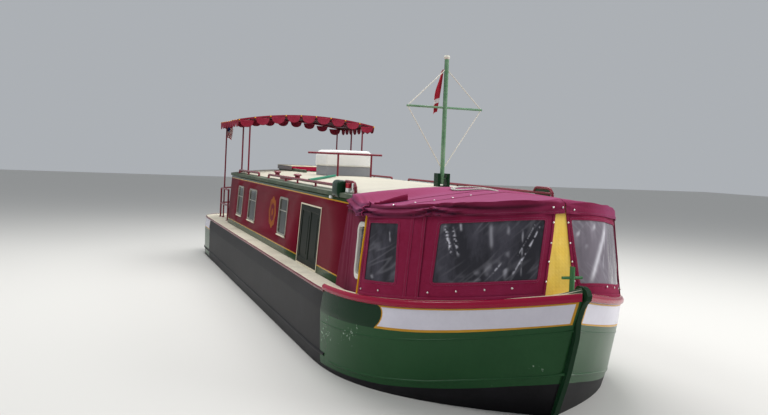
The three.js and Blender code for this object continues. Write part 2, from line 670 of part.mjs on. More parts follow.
function scallopOutline(centre, width, top) {
  const outline = [];
  for (let i = 0; i <= scallopSides; i += 1) {
    const turn = Math.PI * (1 + i / scallopSides);
    outline.push([centre + Math.cos(turn) * width / 2, top + Math.sin(turn) * canopy.scallop]);
  }
  return outline;
}
const acrossPitch = (2 * canopy.half) / canopy.frontScallops;
const alongPitch = (canopy.back - canopy.front) / canopy.sideScallops;
for (let i = 0; i < canopy.frontScallops; i += 1) {
  const y = -canopy.half + acrossPitch * (i + 0.5);
  const left = y - acrossPitch / 2;
  const right = y + acrossPitch / 2;
  const edge = Math.min(canopyZ(left, 0), canopyZ(right, 0)) - canopy.rim + 4;
  const outline = [...scallopOutline(y, acrossPitch - 30, edge), [right - 15, canopyZ(right, -12)],
    [left + 15, canopyZ(left, -12)]];
  cover = cover.add(alongBoat(outline, canopy.front, canopy.front + canopy.thickness));
  cover = cover.add(alongBoat(outline, canopy.back - canopy.thickness, canopy.back));
}
for (let i = 0; i < canopy.sideScallops; i += 1) {
  const aft = canopy.front + alongPitch * (i + 0.5);
  const edge = canopy.edgeHeight - canopy.rim + 4;
  const outline = [...scallopOutline(-aft, alongPitch - 30, edge).map(([u, z]) => [-u, z]),
    [aft - alongPitch / 2 + 15, edge + 20], [aft + alongPitch / 2 - 15, edge + 20]];
  cover = cover.add(acrossBoat(outline, -canopy.half, -canopy.half + canopy.thickness));
  cover = cover.add(acrossBoat(outline, canopy.half - canopy.thickness, canopy.half));
}
add("canopy_cover", cover, paint.canvas, 0.9);
const pole = { half: 1083.3, sternHalf: 1190, diameter: 30 };
const poleTop = -canopy.thickness - pole.diameter / 2;
function canopyHoop({ aft, half, foot }) {
  const points = [];
  for (let i = 1; i < canopy.steps; i += 1) {
    const y = -canopy.half + (2 * canopy.half * i) / canopy.steps;
    points.push([aft, y, canopyZ(y, poleTop)]);
  }
  if (half > pole.half + 1) {
    points.unshift([aft, -half, canopyZ(half, poleTop - 3)]);
    points.push([aft, half, canopyZ(half, poleTop - 3)]);
  }
  return bar([[aft, -half, foot], ...points, [aft, half, foot]], pole.diameter);
}
const roofPoleFoot = camberAt(pole.half, roofBase) - 20;
const hoops = [
  { aft: 9250, half: pole.half, foot: roofPoleFoot },
  { aft: 9950, half: pole.half, foot: roofPoleFoot },
  { aft: 11330, half: pole.sternHalf, foot: deckHeight - 20 },
];
let frame = canopyHoop(hoops[0]);
for (const hoop of hoops.slice(1)) {
  frame = frame.add(canopyHoop(hoop));
}
for (const way of [-1, 1]) {
  const z = canopyZ(pole.half, poleTop - 2);
  frame = frame.add(bar([[hoops[0].aft, way * pole.half, z], [hoops[2].aft, way * pole.half, z]], 24));
}
add("canopy_frame", frame.subtract(roofSolid).subtract(hullUnderDeck), paint.maroon, 0.4);

// Stern guard rails, one a side, then the engine hatch, engine, propeller and rudder
const guard = { half: 1230, height: 620, diameter: 36 };
const guardFoot = deckHeight - 20;
const guardTop = guardFoot + guard.height;
const guardBends = [
  { aft: 10500, y: guard.half },
  { aft: 11450, y: guard.half },
  { aft: 12000, y: 820 },
  { aft: 12150, y: 420 },
];
for (const [side, way] of [["starboard", -1], ["port", 1]]) {
  let rail = null;
  for (const z of [guardTop, guardFoot + guard.height / 2]) {
    const bends = guardBends.map(({ aft, y }) => [aft, way * y, z]);
    const run = bar([...bends, [12150, way * 40, z]], guard.diameter);
    rail = rail ? rail.add(run) : run;
  }
  for (const { aft, y } of [...guardBends, { aft: 12150, y: 58 }]) {
    rail = rail.add(bar([[aft, way * y, guardFoot], [aft, way * y, guardTop]], guard.diameter));
  }
  add("guard_rail_" + side, rail.subtract(hullUnderDeck), paint.rail, 0.45);
}
const engineLid = { overlap: 30, thickness: 30 };
const engineLidHalf = engineBay.halfWidth + engineLid.overlap;
const engineLidFoot = deckHeight + seam;
add("engine_hatch", block(engineBay.front - engineLid.overlap, engineBay.back + engineLid.overlap,
  -engineLidHalf, engineLidHalf, engineLidFoot, engineLidFoot + engineLid.thickness), paint.wood, 0.7);
const engineMargin = 40;
add("engine", block(engineBay.front + engineMargin, engineBay.back - engineMargin, -270, 270,
  engineBay.floorHeight + seam, engineBay.floorHeight + 650), paint.engine, 0.6);

const hub = turned([[0, -70], [36, -70], [48, 0], [36, 55], [0, 70]], boatLength / 2, 0, 0, 12);
const bladeOutline = [[0, -26], [90, -66], [180, -72], [203, -20], [192, 46], [105, 64], [0, 30]];
let screw = hub;
for (let i = 0; i < 3; i += 1) {
  const bladeShape = new THREE.Shape(bladeOutline.map(([a, b]) => new THREE.Vector2(a, b)));
  const blade = new THREE.ExtrudeGeometry(bladeShape, { depth: 12, bevelEnabled: false });
  blade.translate(0, 0, -6);
  blade.rotateX(0.6);
  blade.rotateZ((i * 2 * Math.PI) / 3);
  screw = screw.add(solid(blade));
}
const propellerX = xAt(shaft.propellerAft);
screw = screw.rotate([0, 90, 0]).translate([propellerX, 0, shaft.height])
  .add(bar([[11340, 0, shaft.height], [shaft.propellerAft, 0, shaft.height]], shaft.diameter, 12));
add("propeller", screw, paint.bronze, 0.35, 1);

const tillerTop = deckHeight + 760;
add("rudder", block(rudder.bladeFrom, rudder.bladeTo, -14, 14, rudder.low, rudder.high)
  .add(bar([[rudder.stockAft, 0, 42 + seam], [rudder.stockAft, 0, deckHeight + 500]],
    rudder.stockDiameter, 12))
  .add(bar([[rudder.stockAft, 0, deckHeight + 480], [11700, 0, tillerTop], [10950, 0, tillerTop + 90]], 40)),
  paint.steel, 0.4, 1);

const boat = new THREE.Group();
boat.name = "narrowboat";
for (const { name, shape, colour, roughness, metalness } of nodes) {
  const mesh = shape.getMesh();
  const flat = new Float32Array(mesh.numVert * 3);
  for (let i = 0; i < mesh.numVert; i += 1) {
    flat.set(mesh.vertProperties.subarray(i * mesh.numProp, i * mesh.numProp + 3), i * 3);
  }
  const geometry = new THREE.BufferGeometry();
  geometry.setAttribute("position", new THREE.BufferAttribute(flat, 3));
  geometry.setIndex(new THREE.BufferAttribute(mesh.triVerts, 1));
  geometry.computeVertexNormals();
  const material = new THREE.MeshStandardMaterial({ color: colour, roughness, metalness });
  const piece = new THREE.Mesh(geometry, material);
  piece.name = name;
  boat.add(piece);
}
export default boat;
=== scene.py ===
import math

import bmesh
import bpy
from mathutils import Matrix, Vector, noise
from mathutils.bvhtree import BVHTree


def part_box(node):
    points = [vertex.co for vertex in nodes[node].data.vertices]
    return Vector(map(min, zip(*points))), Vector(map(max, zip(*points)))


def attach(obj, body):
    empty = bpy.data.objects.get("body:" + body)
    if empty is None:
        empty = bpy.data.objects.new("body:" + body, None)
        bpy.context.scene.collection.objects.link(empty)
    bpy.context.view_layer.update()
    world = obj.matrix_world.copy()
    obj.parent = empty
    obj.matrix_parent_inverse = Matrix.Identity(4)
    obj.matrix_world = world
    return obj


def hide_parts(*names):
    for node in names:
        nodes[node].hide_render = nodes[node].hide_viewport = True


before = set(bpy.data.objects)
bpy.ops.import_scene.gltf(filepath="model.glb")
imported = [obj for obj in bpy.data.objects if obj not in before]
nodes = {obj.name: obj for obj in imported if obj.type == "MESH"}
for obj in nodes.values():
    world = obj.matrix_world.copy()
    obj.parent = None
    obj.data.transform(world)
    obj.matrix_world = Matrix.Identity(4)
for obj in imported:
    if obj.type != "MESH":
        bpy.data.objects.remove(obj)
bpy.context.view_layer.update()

# Looks of a steel canal cruiser. Metres; a place along the boat is its distance aft of the stem head.
scene = bpy.context.scene
waterline = 0.6
midships = 6.25
deckHeight = 1.38
sides = {"starboard": -1, "port": 1}
straightUp = Vector((0, 0, 1))
print("frame loaded:", len(nodes), "nodes")


# A place on the boat from its distance aft of the stem head
def at(aft, y, z):
    return Vector((midships - aft, y, z))


# The camera stands ahead of the starboard bow
camera = {"place": (11.63, -3.70, 2.71), "yaw": 19.73, "roll": 2.406, "lens": 37.5, "shiftUp": -0.0625}


def makeCamera(setting):
    yaw, roll = math.radians(setting["yaw"]), math.radians(setting["roll"])
    ahead = Vector((-math.cos(yaw), math.sin(yaw), 0))
    level = ahead.cross(straightUp)
    right = level * math.cos(roll) + straightUp * math.sin(roll)
    up = right.cross(ahead)
    data = bpy.data.cameras.new("camera")
    data.lens = setting["lens"]
    data.shift_y = setting["shiftUp"]
    made = bpy.data.objects.new("camera", data)
    turn = Matrix((right, up, -ahead)).transposed().to_4x4()
    made.matrix_world = Matrix.Translation(setting["place"]) @ turn
    scene.collection.objects.link(made)
    scene.camera = made


makeCamera(camera)
print("camera placed")


def colour(hexText):
    channels = [int(hexText[i:i + 2], 16) / 255 for i in (1, 3, 5)]
    return (*[c / 12.92 if c <= 0.04045 else ((c + 0.055) / 1.055) ** 2.4 for c in channels], 1)


def addNode(tree, kind, inputs=None, **settings):
    node = tree.nodes.new(kind)
    for name, value in settings.items():
        setattr(node, name, value)
    for key, value in (inputs or {}).items():
        if isinstance(value, bpy.types.NodeSocket):
            tree.links.new(value, node.inputs[key])
        else:
            node.inputs[key].default_value = value
    return node


# Begins a finish; the function it gives back joins the colour and the relief and hands over the material
def startMaterial(name, roughness, **shaderValues):
    material = bpy.data.materials.new(name)
    material.use_nodes = True
    tree = material.node_tree
    shader = tree.nodes["Principled BSDF"]
    shader.inputs["Roughness"].default_value = roughness
    for label, value in shaderValues.items():
        shader.inputs[label.replace("_", " ")].default_value = value
    place = addNode(tree, "ShaderNodeTexCoord").outputs["Object"]

    def finished(paint, relief):
        tree.links.new(paint, shader.inputs["Base Color"])
        tree.links.new(relief, shader.inputs["Normal"])
        return material

    return tree, place, finished


# Grime or fading that lies in clouds of a real size over a base colour
def clouded(tree, place, base, stain, sizeMm, amount, stretch=(1, 1, 1)):
    spot = addNode(tree, "ShaderNodeMapping", {"Vector": place, "Scale": stretch})
    cloud = addNode(tree, "ShaderNodeTexNoise",
                    {"Vector": spot.outputs[0], "Scale": 1000 / sizeMm, "Detail": 5, "Roughness": 0.6})
    share = addNode(tree, "ShaderNodeMapRange",
                    {"Value": cloud.outputs["Fac"], "From Min": 0.42, "From Max": 0.72, "To Max": amount})
    return addNode(tree, "ShaderNodeMix", {0: share.outputs["Result"], 6: base, 7: stain},
                   data_type="RGBA").outputs[2]


# Unevenness of a real size and depth, laid over what is already there
def dented(tree, place, sizeMm, depthMm, under=None, detail=3, stretch=(1, 1, 1)):
    spot = addNode(tree, "ShaderNodeMapping", {"Vector": place, "Scale": stretch})
    height = addNode(tree, "ShaderNodeTexNoise",
                     {"Vector": spot.outputs[0], "Scale": 1000 / sizeMm, "Detail": detail})
    inputs = {"Height": height.outputs["Fac"], "Distance": depthMm / 1000, "Strength": 1.0}
    if under is not None:
        inputs["Normal"] = under
    return addNode(tree, "ShaderNodeBump", inputs).outputs["Normal"]


# Coach enamel brushed over welded steel plate: gloss with slow waves in the reflections and a little chalking
def enamel(name, paint, faded, roughness=0.25, waves=1.6, chalk=0.35, shine=0.28, chips=False):
    tree, place, finished = startMaterial(name, roughness, Specular_IOR_Level=shine)
    old = clouded(tree, place, colour(paint), colour(faded), sizeMm=420, amount=chalk)
    shade = clouded(tree, place, old, colour(faded), sizeMm=36, amount=chalk * 0.4)
    wave = dented(tree, place, sizeMm=380, depthMm=waves)
    if chips:
        # chips of about 30 mm down to a pale undercoat, in patches of about 600 mm
        flecks = addNode(tree, "ShaderNodeTexNoise", {"Vector": place, "Scale": 34, "Detail": 2, "Roughness": 0.7})
        where = addNode(tree, "ShaderNodeTexNoise", {"Vector": place, "Scale": 1.7, "Detail": 1})
        both = addNode(tree, "ShaderNodeMath", {0: flecks.outputs["Fac"], 1: where.outputs["Fac"]},
                       operation="MULTIPLY")
        bare = addNode(tree, "ShaderNodeMath", {0: both.outputs[0], 1: 0.475}, operation="GREATER_THAN")
        shade = addNode(tree, "ShaderNodeMix", {0: bare.outputs[0], 6: shade, 7: colour("#93a894")},
                        data_type="RGBA").outputs[2]
    return finished(shade, dented(tree, place, sizeMm=14, depthMm=0.12, under=wave, stretch=(0.25, 0.25, 1)))


# Cream deck paint with sand in it: matt, with a fine grit that breaks up the light, and trodden-in dirt
def deckFinish(name, paint, dirt):
    tree, place, finished = startMaterial(name, roughness=0.75)
    worn = clouded(tree, place, colour(paint), colour(dirt), sizeMm=600, amount=0.55)
    spots = clouded(tree, place, worn, colour(dirt), sizeMm=28, amount=0.3)
    # sand is about 1 mm and is drawn at 5 mm so that it shows
    return finished(spots, dented(tree, place, sizeMm=5, depthMm=0.5))


# Acrylic canvas, plain woven: matt with a soft edge of light, slightly paler where the sun has faded it
def canvasFinish(name, dye, faded, amount=0.5, sheen=0.12, skyReflectionTint=None, shadow="#2c0815"):
    # painted reflection: a sheen tint, when given, stands for the sky mirrored on the cloth
    tree, place, finished = startMaterial(name, roughness=0.9, Sheen_Weight=sheen, Sheen_Roughness=0.5,
                                          Sheen_Tint=colour(skyReflectionTint or faded), Specular_IOR_Level=0.25)
    old = clouded(tree, place, colour(dye), colour(faded), sizeMm=700, amount=amount)
    damp = clouded(tree, place, old, colour(faded), sizeMm=60, amount=amount * 0.35)
    # painted shade: folds, the hem and the tops of the walls darken towards the shadow colour; the attribute "shade"
    # says where
    paintedShadeMask = addNode(tree, "ShaderNodeAttribute", attribute_name="shade")
    depth = addNode(tree, "ShaderNodeMix", {0: paintedShadeMask.outputs["Fac"], 6: damp, 7: colour(shadow)}, data_type="RGBA")
    # threads are 0.6 mm apart; they are drawn as crossed waves 32 mm apart, the closest that shows from afar
    waveScale = 9.947184
    warp, weft = (addNode(tree, "ShaderNodeTexWave", {"Vector": place, "Scale": waveScale, "Distortion": 0.4},
                          bands_direction=way) for way in "ZY")
    cloth = addNode(tree, "ShaderNodeMath", {0: warp.outputs["Fac"], 1: weft.outputs["Fac"]}, operation="MULTIPLY")
    slub = dented(tree, place, sizeMm=45, depthMm=1.2)
    weave = addNode(tree, "ShaderNodeBump", {"Height": cloth.outputs[0], "Distance": 0.0006, "Normal": slub})
    return finished(depth.outputs[2], weave.outputs["Normal"])


# Clear vinyl sheet over a dark well: its colour is painted shade of the well, with paler clouds of painted reflection;
# where it is creased, the attribute "crease" lets pale streaks of painted highlight through
def vinylFinish(name, shadeBehind, paintedReflection, paintedHighlight):
    tree, place, finished = startMaterial(name, roughness=0.16, Specular_IOR_Level=0.2)
    depth = clouded(tree, place, colour(shadeBehind), colour(paintedReflection), sizeMm=190, amount=0.9, stretch=(1, 1, 0.45))
    crease = addNode(tree, "ShaderNodeAttribute", attribute_name="crease")
    pale = addNode(tree, "ShaderNodeMix", {0: crease.outputs["Fac"], 6: depth, 7: colour(paintedHighlight)}, data_type="RGBA")
    wavy = dented(tree, place, sizeMm=150, depthMm=4, detail=4, stretch=(1, 1, 0.35))
    return finished(pale.outputs[2], dented(tree, place, sizeMm=26, depthMm=0.6, under=wavy))


# Window glass painted dark for the shade of the cabin behind it, with paler clouds of painted reflection: nearly flat,
# so that it mirrors in broad patches
def glassFinish(name, shadeBehind, paintedReflection):
    tree, place, finished = startMaterial(name, roughness=0.05, Specular_IOR_Level=0.26)
    inside = clouded(tree, place, colour(shadeBehind), colour(paintedReflection), sizeMm=260, amount=0.8, stretch=(1, 1, 0.5))
    return finished(inside, dented(tree, place, sizeMm=300, depthMm=5, detail=1))


# Weathered metal with a fine tooth: a broad highlight that goes dull in patches
def metalFinish(name, tone, dark, roughness):
    tree, place, finished = startMaterial(name, roughness, Metallic=1.0)
    worn = clouded(tree, place, colour(tone), colour(dark), sizeMm=40, amount=0.6)
    return finished(worn, dented(tree, place, sizeMm=6, depthMm=0.1))


# Varnished hardwood boards: grain runs up the board in lines about 9 mm apart, under a clear coat
def woodFinish(name, pale, dark):
    tree, place, finished = startMaterial(name, roughness=0.3, Coat_Weight=0.4, Coat_Roughness=0.15)
    along = addNode(tree, "ShaderNodeMapping", {"Vector": place, "Scale": (1, 1, 0.08)})
    warped = addNode(tree, "ShaderNodeTexNoise", {"Vector": along.outputs[0], "Scale": 110, "Detail": 6})
    ramp = addNode(tree, "ShaderNodeMapRange", {"Value": warped.outputs["Fac"], "From Min": 0.35, "From Max": 0.65})
    grain = addNode(tree, "ShaderNodeMix", {0: ramp.outputs["Result"], 6: colour(pale), 7: colour(dark)},
                    data_type="RGBA")
    return finished(grain.outputs[2], dented(tree, place, sizeMm=8, depthMm=0.15, stretch=(1, 1, 0.1)))


# Laid polyester rope: the three strands show as slanting ribs along its own UV
def ropeFinish(name, fibre, shadow):
    tree, place, finished = startMaterial(name, roughness=0.8, Sheen_Weight=0.2)
    along = addNode(tree, "ShaderNodeUVMap", uv_map="UVMap").outputs["UV"]
    strands = addNode(tree, "ShaderNodeTexWave", {"Vector": along, "Scale": 1.0, "Distortion": 0.0},
                      bands_direction="DIAGONAL")
    shade = addNode(tree, "ShaderNodeMix", {0: strands.outputs["Fac"], 6: colour(shadow), 7: colour(fibre)},
                    data_type="RGBA")
    grime = clouded(tree, place, shade.outputs[2], colour(shadow), sizeMm=30, amount=0.4)
    ribs = addNode(tree, "ShaderNodeBump", {"Height": strands.outputs["Fac"], "Distance": 0.002})
    return finished(grime, ribs.outputs["Normal"])


# Plates with one paint on their sides and another on top, split by which way the surface faces
def plateFinish(name, side, top, grit=0.4, margin=None):
    tree, place, finished = startMaterial(name, roughness=0.6)
    geometry = addNode(tree, "ShaderNodeNewGeometry")
    facing = addNode(tree, "ShaderNodeSeparateXYZ", {0: geometry.outputs["Normal"]})
    upwards = addNode(tree, "ShaderNodeMath", {0: facing.outputs["Z"], 1: 0.5}, operation="GREATER_THAN").outputs[0]
    if margin is not None:
        across = addNode(tree, "ShaderNodeSeparateXYZ", {0: geometry.outputs["Position"]})
        away = addNode(tree, "ShaderNodeMath", {0: across.outputs["Y"]}, operation="ABSOLUTE")
        within = addNode(tree, "ShaderNodeMath", {0: away.outputs[0], 1: margin}, operation="LESS_THAN")
        upwards = addNode(tree, "ShaderNodeMath", {0: upwards, 1: within.outputs[0]}, operation="MULTIPLY").outputs[0]
    both = addNode(tree, "ShaderNodeMix", {0: upwards, 6: colour(side), 7: colour(top)}, data_type="RGBA")
    worn = clouded(tree, place, both.outputs[2], colour("#8a8474"), sizeMm=300, amount=0.3)
    return finished(worn, dented(tree, place, sizeMm=6, depthMm=grit))


finishes = {
    "hullGreen": enamel("green coach enamel on plate", "#1f4a28", "#2f5c36", chalk=0.25, shine=0.2, chips=True),
    "panelGreen": enamel("dark green coach enamel", "#12301c", "#1f3f28", chalk=0.2, shine=0.12),
    "doorGreen": enamel("weathered black-green door enamel", "#181d17", "#293028", 0.5, chalk=0.3, shine=0.08),
    "hullBlack": enamel("bitumen blacking on plate", "#141316", "#232126", 0.5, chalk=0.6, shine=0.15),
    "bandWhite": enamel("white coach enamel", "#dcd9e4", "#bdb8c6", chalk=0.3),
    "gold": enamel("gold signwriter's enamel", "#c9921f", "#a1721a"),
    "ochre": enamel("ochre signwriter's enamel", "#98520f", "#6f3415", 0.5, chalk=0.7, shine=0.05),
    "railRed": enamel("signal red enamel on steel moulding", "#9a0232", "#a81444", 0.2, chalk=0.2),
    "railMaroon": enamel("maroon enamel on steel tube", "#701a2b", "#86303c", chalk=0.25),
    "cabinMaroon": enamel("maroon coach enamel", "#680e22", "#7a2033", 0.5, waves=0.7, chalk=0.25, shine=0.04),
    "bandGreen": enamel("roof band green enamel", "#2c4127", "#435638", chalk=0.3, shine=0.12),
    "postGreen": enamel("mid green enamel on steel", "#2f6a3b", "#6a9a6c", chalk=0.5),
    "mastGreen": enamel("sun-bleached green enamel on tube", "#5a8862", "#a3bfa0", 0.3, chalk=0.7),
    "poleGreen": enamel("green painted boat pole", "#1d7a5e", "#3d8f76", 0.4),
    "cream": enamel("cream coach enamel", "#e3dac0", "#c8bfa4", 0.35, chalk=0.4),
    "stayWhite": enamel("cream painted stay wire", "#e4e0d2", "#c4beae", 0.4),
    "boxWhite": enamel("white moulded fibreglass", "#e9e9e6", "#d0d0ca", 0.3, waves=0.8, chalk=0.3),
    "boxGrey": enamel("grey moulded plastic", "#8b8c90", "#707176", 0.5),
    "welt": enamel("white moulded window welt", "#dcd9d0", "#b5b1a6", 0.45, chalk=0.4),
    "hatchBrown": enamel("brown enamel on steel sheet, partly painted shade", "#4c2c22", "#6a4636", chalk=0.4),
    "engine": enamel("engine enamel", "#43584a", "#2c382f", 0.5),
    "lampRed": enamel("red lamp lens", "#b02436", "#8c1a28", 0.15),
    "deck": deckFinish("sanded cream deck paint", "#d9d2be", "#9b937f"),
    "bowPlates": plateFinish("bow plates and foredeck", "#2c4a30", "#ddd5bf"),
    "roofPlates": plateFinish("sanded cream roof with green margins", "#2c4127", "#b4ae9d", 0.5, margin=1.135),
    "bottomPlates": plateFinish("bottom plates", "#1f1e21", "#6a665e"),
    "canvas": canvasFinish("woven maroon acrylic canvas", "#821239", "#97335c", 0.4),
    # the top is a copy of the wall canvas with a stronger purple sheen: painted sky reflection
    "canvasTop": canvasFinish("maroon acrylic canvas with painted sky reflection", "#82123a", "#97335c", 0.4, 0.33, "#a884c4"),
    "canopyCanvas": canvasFinish("faded maroon acrylic canvas", "#7a1429", "#95364c", 0.5),
    "canopyShade": canvasFinish("shaded side of maroon canvas", "#3a0a16", "#4a1420", 0.3),
    "yellowCanvas": canvasFinish("woven yellow acrylic canvas", "#ffd55c", "#ffe69a", 0.4),
    "webbing": canvasFinish("yellow webbing tape", "#cf9208", "#e0ae36", 0.3),
    "thread": canvasFinish("polyester thread", "#9c6b80", "#b58fa0", 0.2),
    "pennantCloth": canvasFinish("red bunting", "#a81c30", "#c84a50", 0.3),
    "whiteCloth": canvasFinish("white bunting", "#e2dedc", "#c9c2c4", 0.3),
    "blueCloth": canvasFinish("blue bunting", "#28346a", "#444e80", 0.3),
    "vinyl": vinylFinish("creased clear vinyl", "#302f35", "#55535d", "#d6d4de"),
    # painted light: a paler copy of the vinyl for the port front pane, which stands in the light
    "vinylLit": vinylFinish("clear vinyl with painted light", "#7a737c", "#938a94", "#e2dfe6"),
    "glass": glassFinish("cabin window glass", "#101414", "#39423f"),
    "aluminium": metalFinish("satin anodised aluminium", "#b9b6a8", "#88857a", 0.38),
    "nickel": metalFinish("nickel plated brass", "#e6e3de", "#b3b0aa", 0.3),
    "steel": metalFinish("painted-over mild steel", "#7c7f80", "#4f4a44", 0.5),
    "bronze": metalFinish("cast bronze", "#a8803c", "#6c5a38", 0.35),
    "wood": woodFinish("varnished mahogany", "#8a5530", "#552f18"),
    "board": woodFinish("painted deck board", "#b9ae96", "#948a74"),
    "rope": ropeFinish("laid white polyester rope", "#e6e4dc", "#9c988e"),
}


print("finishes made:", len(finishes))


def newPiece(name, mesh, *looks):
    for look in looks:
        mesh.materials.append(finishes[look])
    piece = bpy.data.objects.new(name, mesh)
    scene.collection.objects.link(piece)
    return piece


def meshFrom(name, bm):
    mesh = bpy.data.meshes.new(name)
    bm.to_mesh(mesh)
    bm.free()
    return mesh


# A piece from a finished shape: welded, smooth up to the crease angle in degrees
def closeMesh(name, bm, *looks, crease=35, weld=1e-5, outwards=True):
    bmesh.ops.remove_doubles(bm, verts=bm.verts, dist=weld)
    if outwards:
        bmesh.ops.recalc_face_normals(bm, faces=bm.faces)
    mesh = meshFrom(name, bm)
    for face in mesh.polygons:
        face.use_smooth = True
    mesh.set_sharp_from_angle(angle=math.radians(crease))
    return newPiece(name, mesh, *looks)


# Turns a piece's modifiers into plain mesh
def baked(piece, crease=None):
    bpy.context.view_layer.update()
    made = bpy.data.meshes.new_from_object(piece.evaluated_get(bpy.context.evaluated_depsgraph_get()))
    piece.modifiers.clear()
    piece.data = made
    if crease is not None:
        made.set_sharp_from_angle(angle=math.radians(crease))
    return piece


def bevelled(piece, width, segments, crease=None, harden=False):
    bevel = piece.modifiers.new("edges", "BEVEL")
    bevel.width, bevel.segments, bevel.harden_normals = width, segments, harden
    return baked(piece, crease)


# Side -1 puts the thickness inside the skin and 0 half on each side
def thickened(piece, thickness, side=-1, crease=None, underLook=0):
    wall = piece.modifiers.new("thickness", "SOLIDIFY")
    wall.thickness, wall.offset, wall.material_offset = thickness, side, underLook
    return baked(piece, crease)


def fit(piece, slot, *replaced, body="hull"):
    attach(piece, body)
    if replaced:
        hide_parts(*replaced)
    return piece


# Joins rings of points, one after another, into a skin
def skinRings(bm, rings, caps=True, look=0, looks=None, loop=True):
    grid = [[bm.verts.new(point) for point in ring] for ring in rings]
    count = len(grid[0])
    for i in range(len(grid) - 1):
        for j in range(count if loop else count - 1):
            k = (j + 1) % count
            face = bm.faces.new((grid[i][j], grid[i][k], grid[i + 1][k], grid[i + 1][j]))
            face.material_index = looks(i, j) if looks else look
    if caps:
        for ring in (grid[0], grid[-1]):
            bm.faces.new(ring).material_index = look
    return grid


# Points of a cloth: place gives each one from its shares of the rows and the columns
def gridPoints(bm, rows, columns, place):
    return [[bm.verts.new(place(i / rows, j / columns)) for j in range(columns + 1)] for i in range(rows + 1)]


def gridFaces(bm, grid, skip=None, look=None):
    for i in range(len(grid) - 1):
        for j in range(len(grid[0]) - 1):
            if skip is None or not skip(i, j):
                face = bm.faces.new((grid[i][j], grid[i][j + 1], grid[i + 1][j + 1], grid[i + 1][j]))
                face.material_index = look(i, j) if look else 0


def tangents(path):
    return [(b - a).normalized() for a, b in zip(path[:1] + path, path[1:] + path[-1:])]


# Cosine and sine at even steps round a circle
def circle(count):
    return [(math.cos(a), math.sin(a)) for a in (2 * math.pi * k / count for k in range(count))]


# A polyline with its corners rounded to a radius
def rounded(points, radius, steps=5):
    path = [points[0]]
    for before, here, after in zip(points, points[1:], points[2:]):
        reach = min(radius, (here - before).length * 0.45, (after - here).length * 0.45)
        start = here + (before - here).normalized() * reach
        end = here + (after - here).normalized() * reach
        for t in (i / steps for i in range(steps + 1)):
            path.append(start * (1 - t) ** 2 + here * 2 * t * (1 - t) + end * t ** 2)
    return path + [points[-1]]


# A round bar along a path, with closed ends
def tube(bm, path, diameter, count=12, look=0):
    across = tangents(path)[0].orthogonal().normalized()
    rings = []
    for place, tangent in zip(path, tangents(path)):
        across = (across - tangent * across.dot(tangent)).normalized()
        other = tangent.cross(across)
        rings.append([place + (across * c + other * s) * diameter / 2 for c, s in circle(count)])
    return skinRings(bm, rings, look=look)


# A turned form from (radius, height) points, standing at a place
def turned(bm, profile, place, count=20):
    across = straightUp.orthogonal().normalized()
    other = straightUp.cross(across)
    skinRings(bm, [[place + straightUp * height + (across * c + other * s) * max(radius, 1e-4)
                    for c, s in circle(count)] for radius, height in profile])


# A block between two corners; its edges are rounded afterwards by a bevel
def block(bm, low, high, look=0):
    corners = [Vector((x, y, z)) for z in (low[2], high[2]) for y in (low[1], high[1]) for x in (low[0], high[0])]
    verts = [bm.verts.new(corner) for corner in corners]
    for ring in ((0, 2, 3, 1), (4, 5, 7, 6), (0, 1, 5, 4), (2, 6, 7, 3), (0, 4, 6, 2), (1, 3, 7, 5)):
        bm.faces.new([verts[i] for i in ring]).material_index = look


# A CAD node copied, welded and given rounded edges
def softened(name, node, width, *looks, segments=2, lookOf=None):
    bm = bmesh.new()
    bm.from_mesh(nodes[node].data)
    bmesh.ops.remove_doubles(bm, verts=bm.verts, dist=2e-5)
    bmesh.ops.dissolve_limit(bm, angle_limit=math.radians(1), verts=bm.verts, edges=bm.edges)
    for face in bm.faces:
        face.material_index = lookOf(face) if lookOf else 0
    return bevelled(closeMesh(name, bm, *looks), width, segments, harden=True)


# The hull's lines, as in the CAD model: height, rise to the stem, stem, entry, fullness, half width, stern
hull = {
    "sheerLength": 2.9, "sheerPower": 3.3, "stemHalf": 0.022, "sternRound": (1.15, 2.6, 0.38), "firstStep": 0.0144,
    "rows": [
        (0.560, 0.06, 0.47, 2.6, 3.2, 1.503, 12.440),
        (0.735, 0.35, 0.31, 2.6, 2.9, 1.515, 12.475),
        (1.180, 0.32, 0.15, 2.6, 2.75, 1.522, 12.495),
        (1.380, 0.30, 0.06, 2.9, 3.0, 1.500, 12.500),
    ],
    "skin": 0.0022,  # how far the painted skin stands off the CAD plates
}


# How far the bow has risen at a place, as a share of its rise at the stem
def sheer(aft):
    return max(0.0, 1 - aft / hull["sheerLength"]) ** hull["sheerPower"]


# Half width of one row of the hull; by the stem the CAD plate is flat over its first step
def rowHalf(row, aft):
    height, rise, stem, entry, fullness, half, stern = row
    length, power, flat = hull["sternRound"]

    def curve(x):
        wide = max(hull["stemHalf"], half * (1 - (1 - min(1.0, (x - stem) / entry)) ** fullness))
        gone = min(1.0, max(0.0, (x - stern + length) / length))
        return min(wide, flat + (half - flat) * (1 - gone ** power) ** (1 / power))

    aft = min(stern, max(stem, aft))
    first = stem + (stern - stem) * hull["firstStep"]
    if aft < first:
        plate = hull["stemHalf"] + (curve(first) - hull["stemHalf"]) * (aft - stem) / (first - stem)
        return max(curve(aft), plate)
    return curve(aft)


# A point on the port side of the hull by its share of the length. Level 0 is under water and 3 is the deck edge.
def hullPoint(level, share, out=0.0):
    low = min(2, int(level))
    ends = []
    for row in hull["rows"][low:low + 2]:
        aft = row[2] - out + (row[6] - row[2] + 2 * out) * share
        ends.append(at(aft, rowHalf(row, aft) + out, row[0] + row[1] * sheer(aft)))
    return ends[0].lerp(ends[1], level - low)


def shareAt(level, aft):
    low = min(2, int(level))
    part = level - low
    a, b = hull["rows"][low:low + 2]
    stem, stern = a[2] + (b[2] - a[2]) * part, a[6] + (b[6] - a[6]) * part
    return (aft - stem) / (stern - stem)


def smooth(x):
    x = min(1.0, max(0.0, x))
    return x * x * (3 - 2 * x)


def mirrored(point, way):
    return Vector((point.x, point.y * way, point.z))


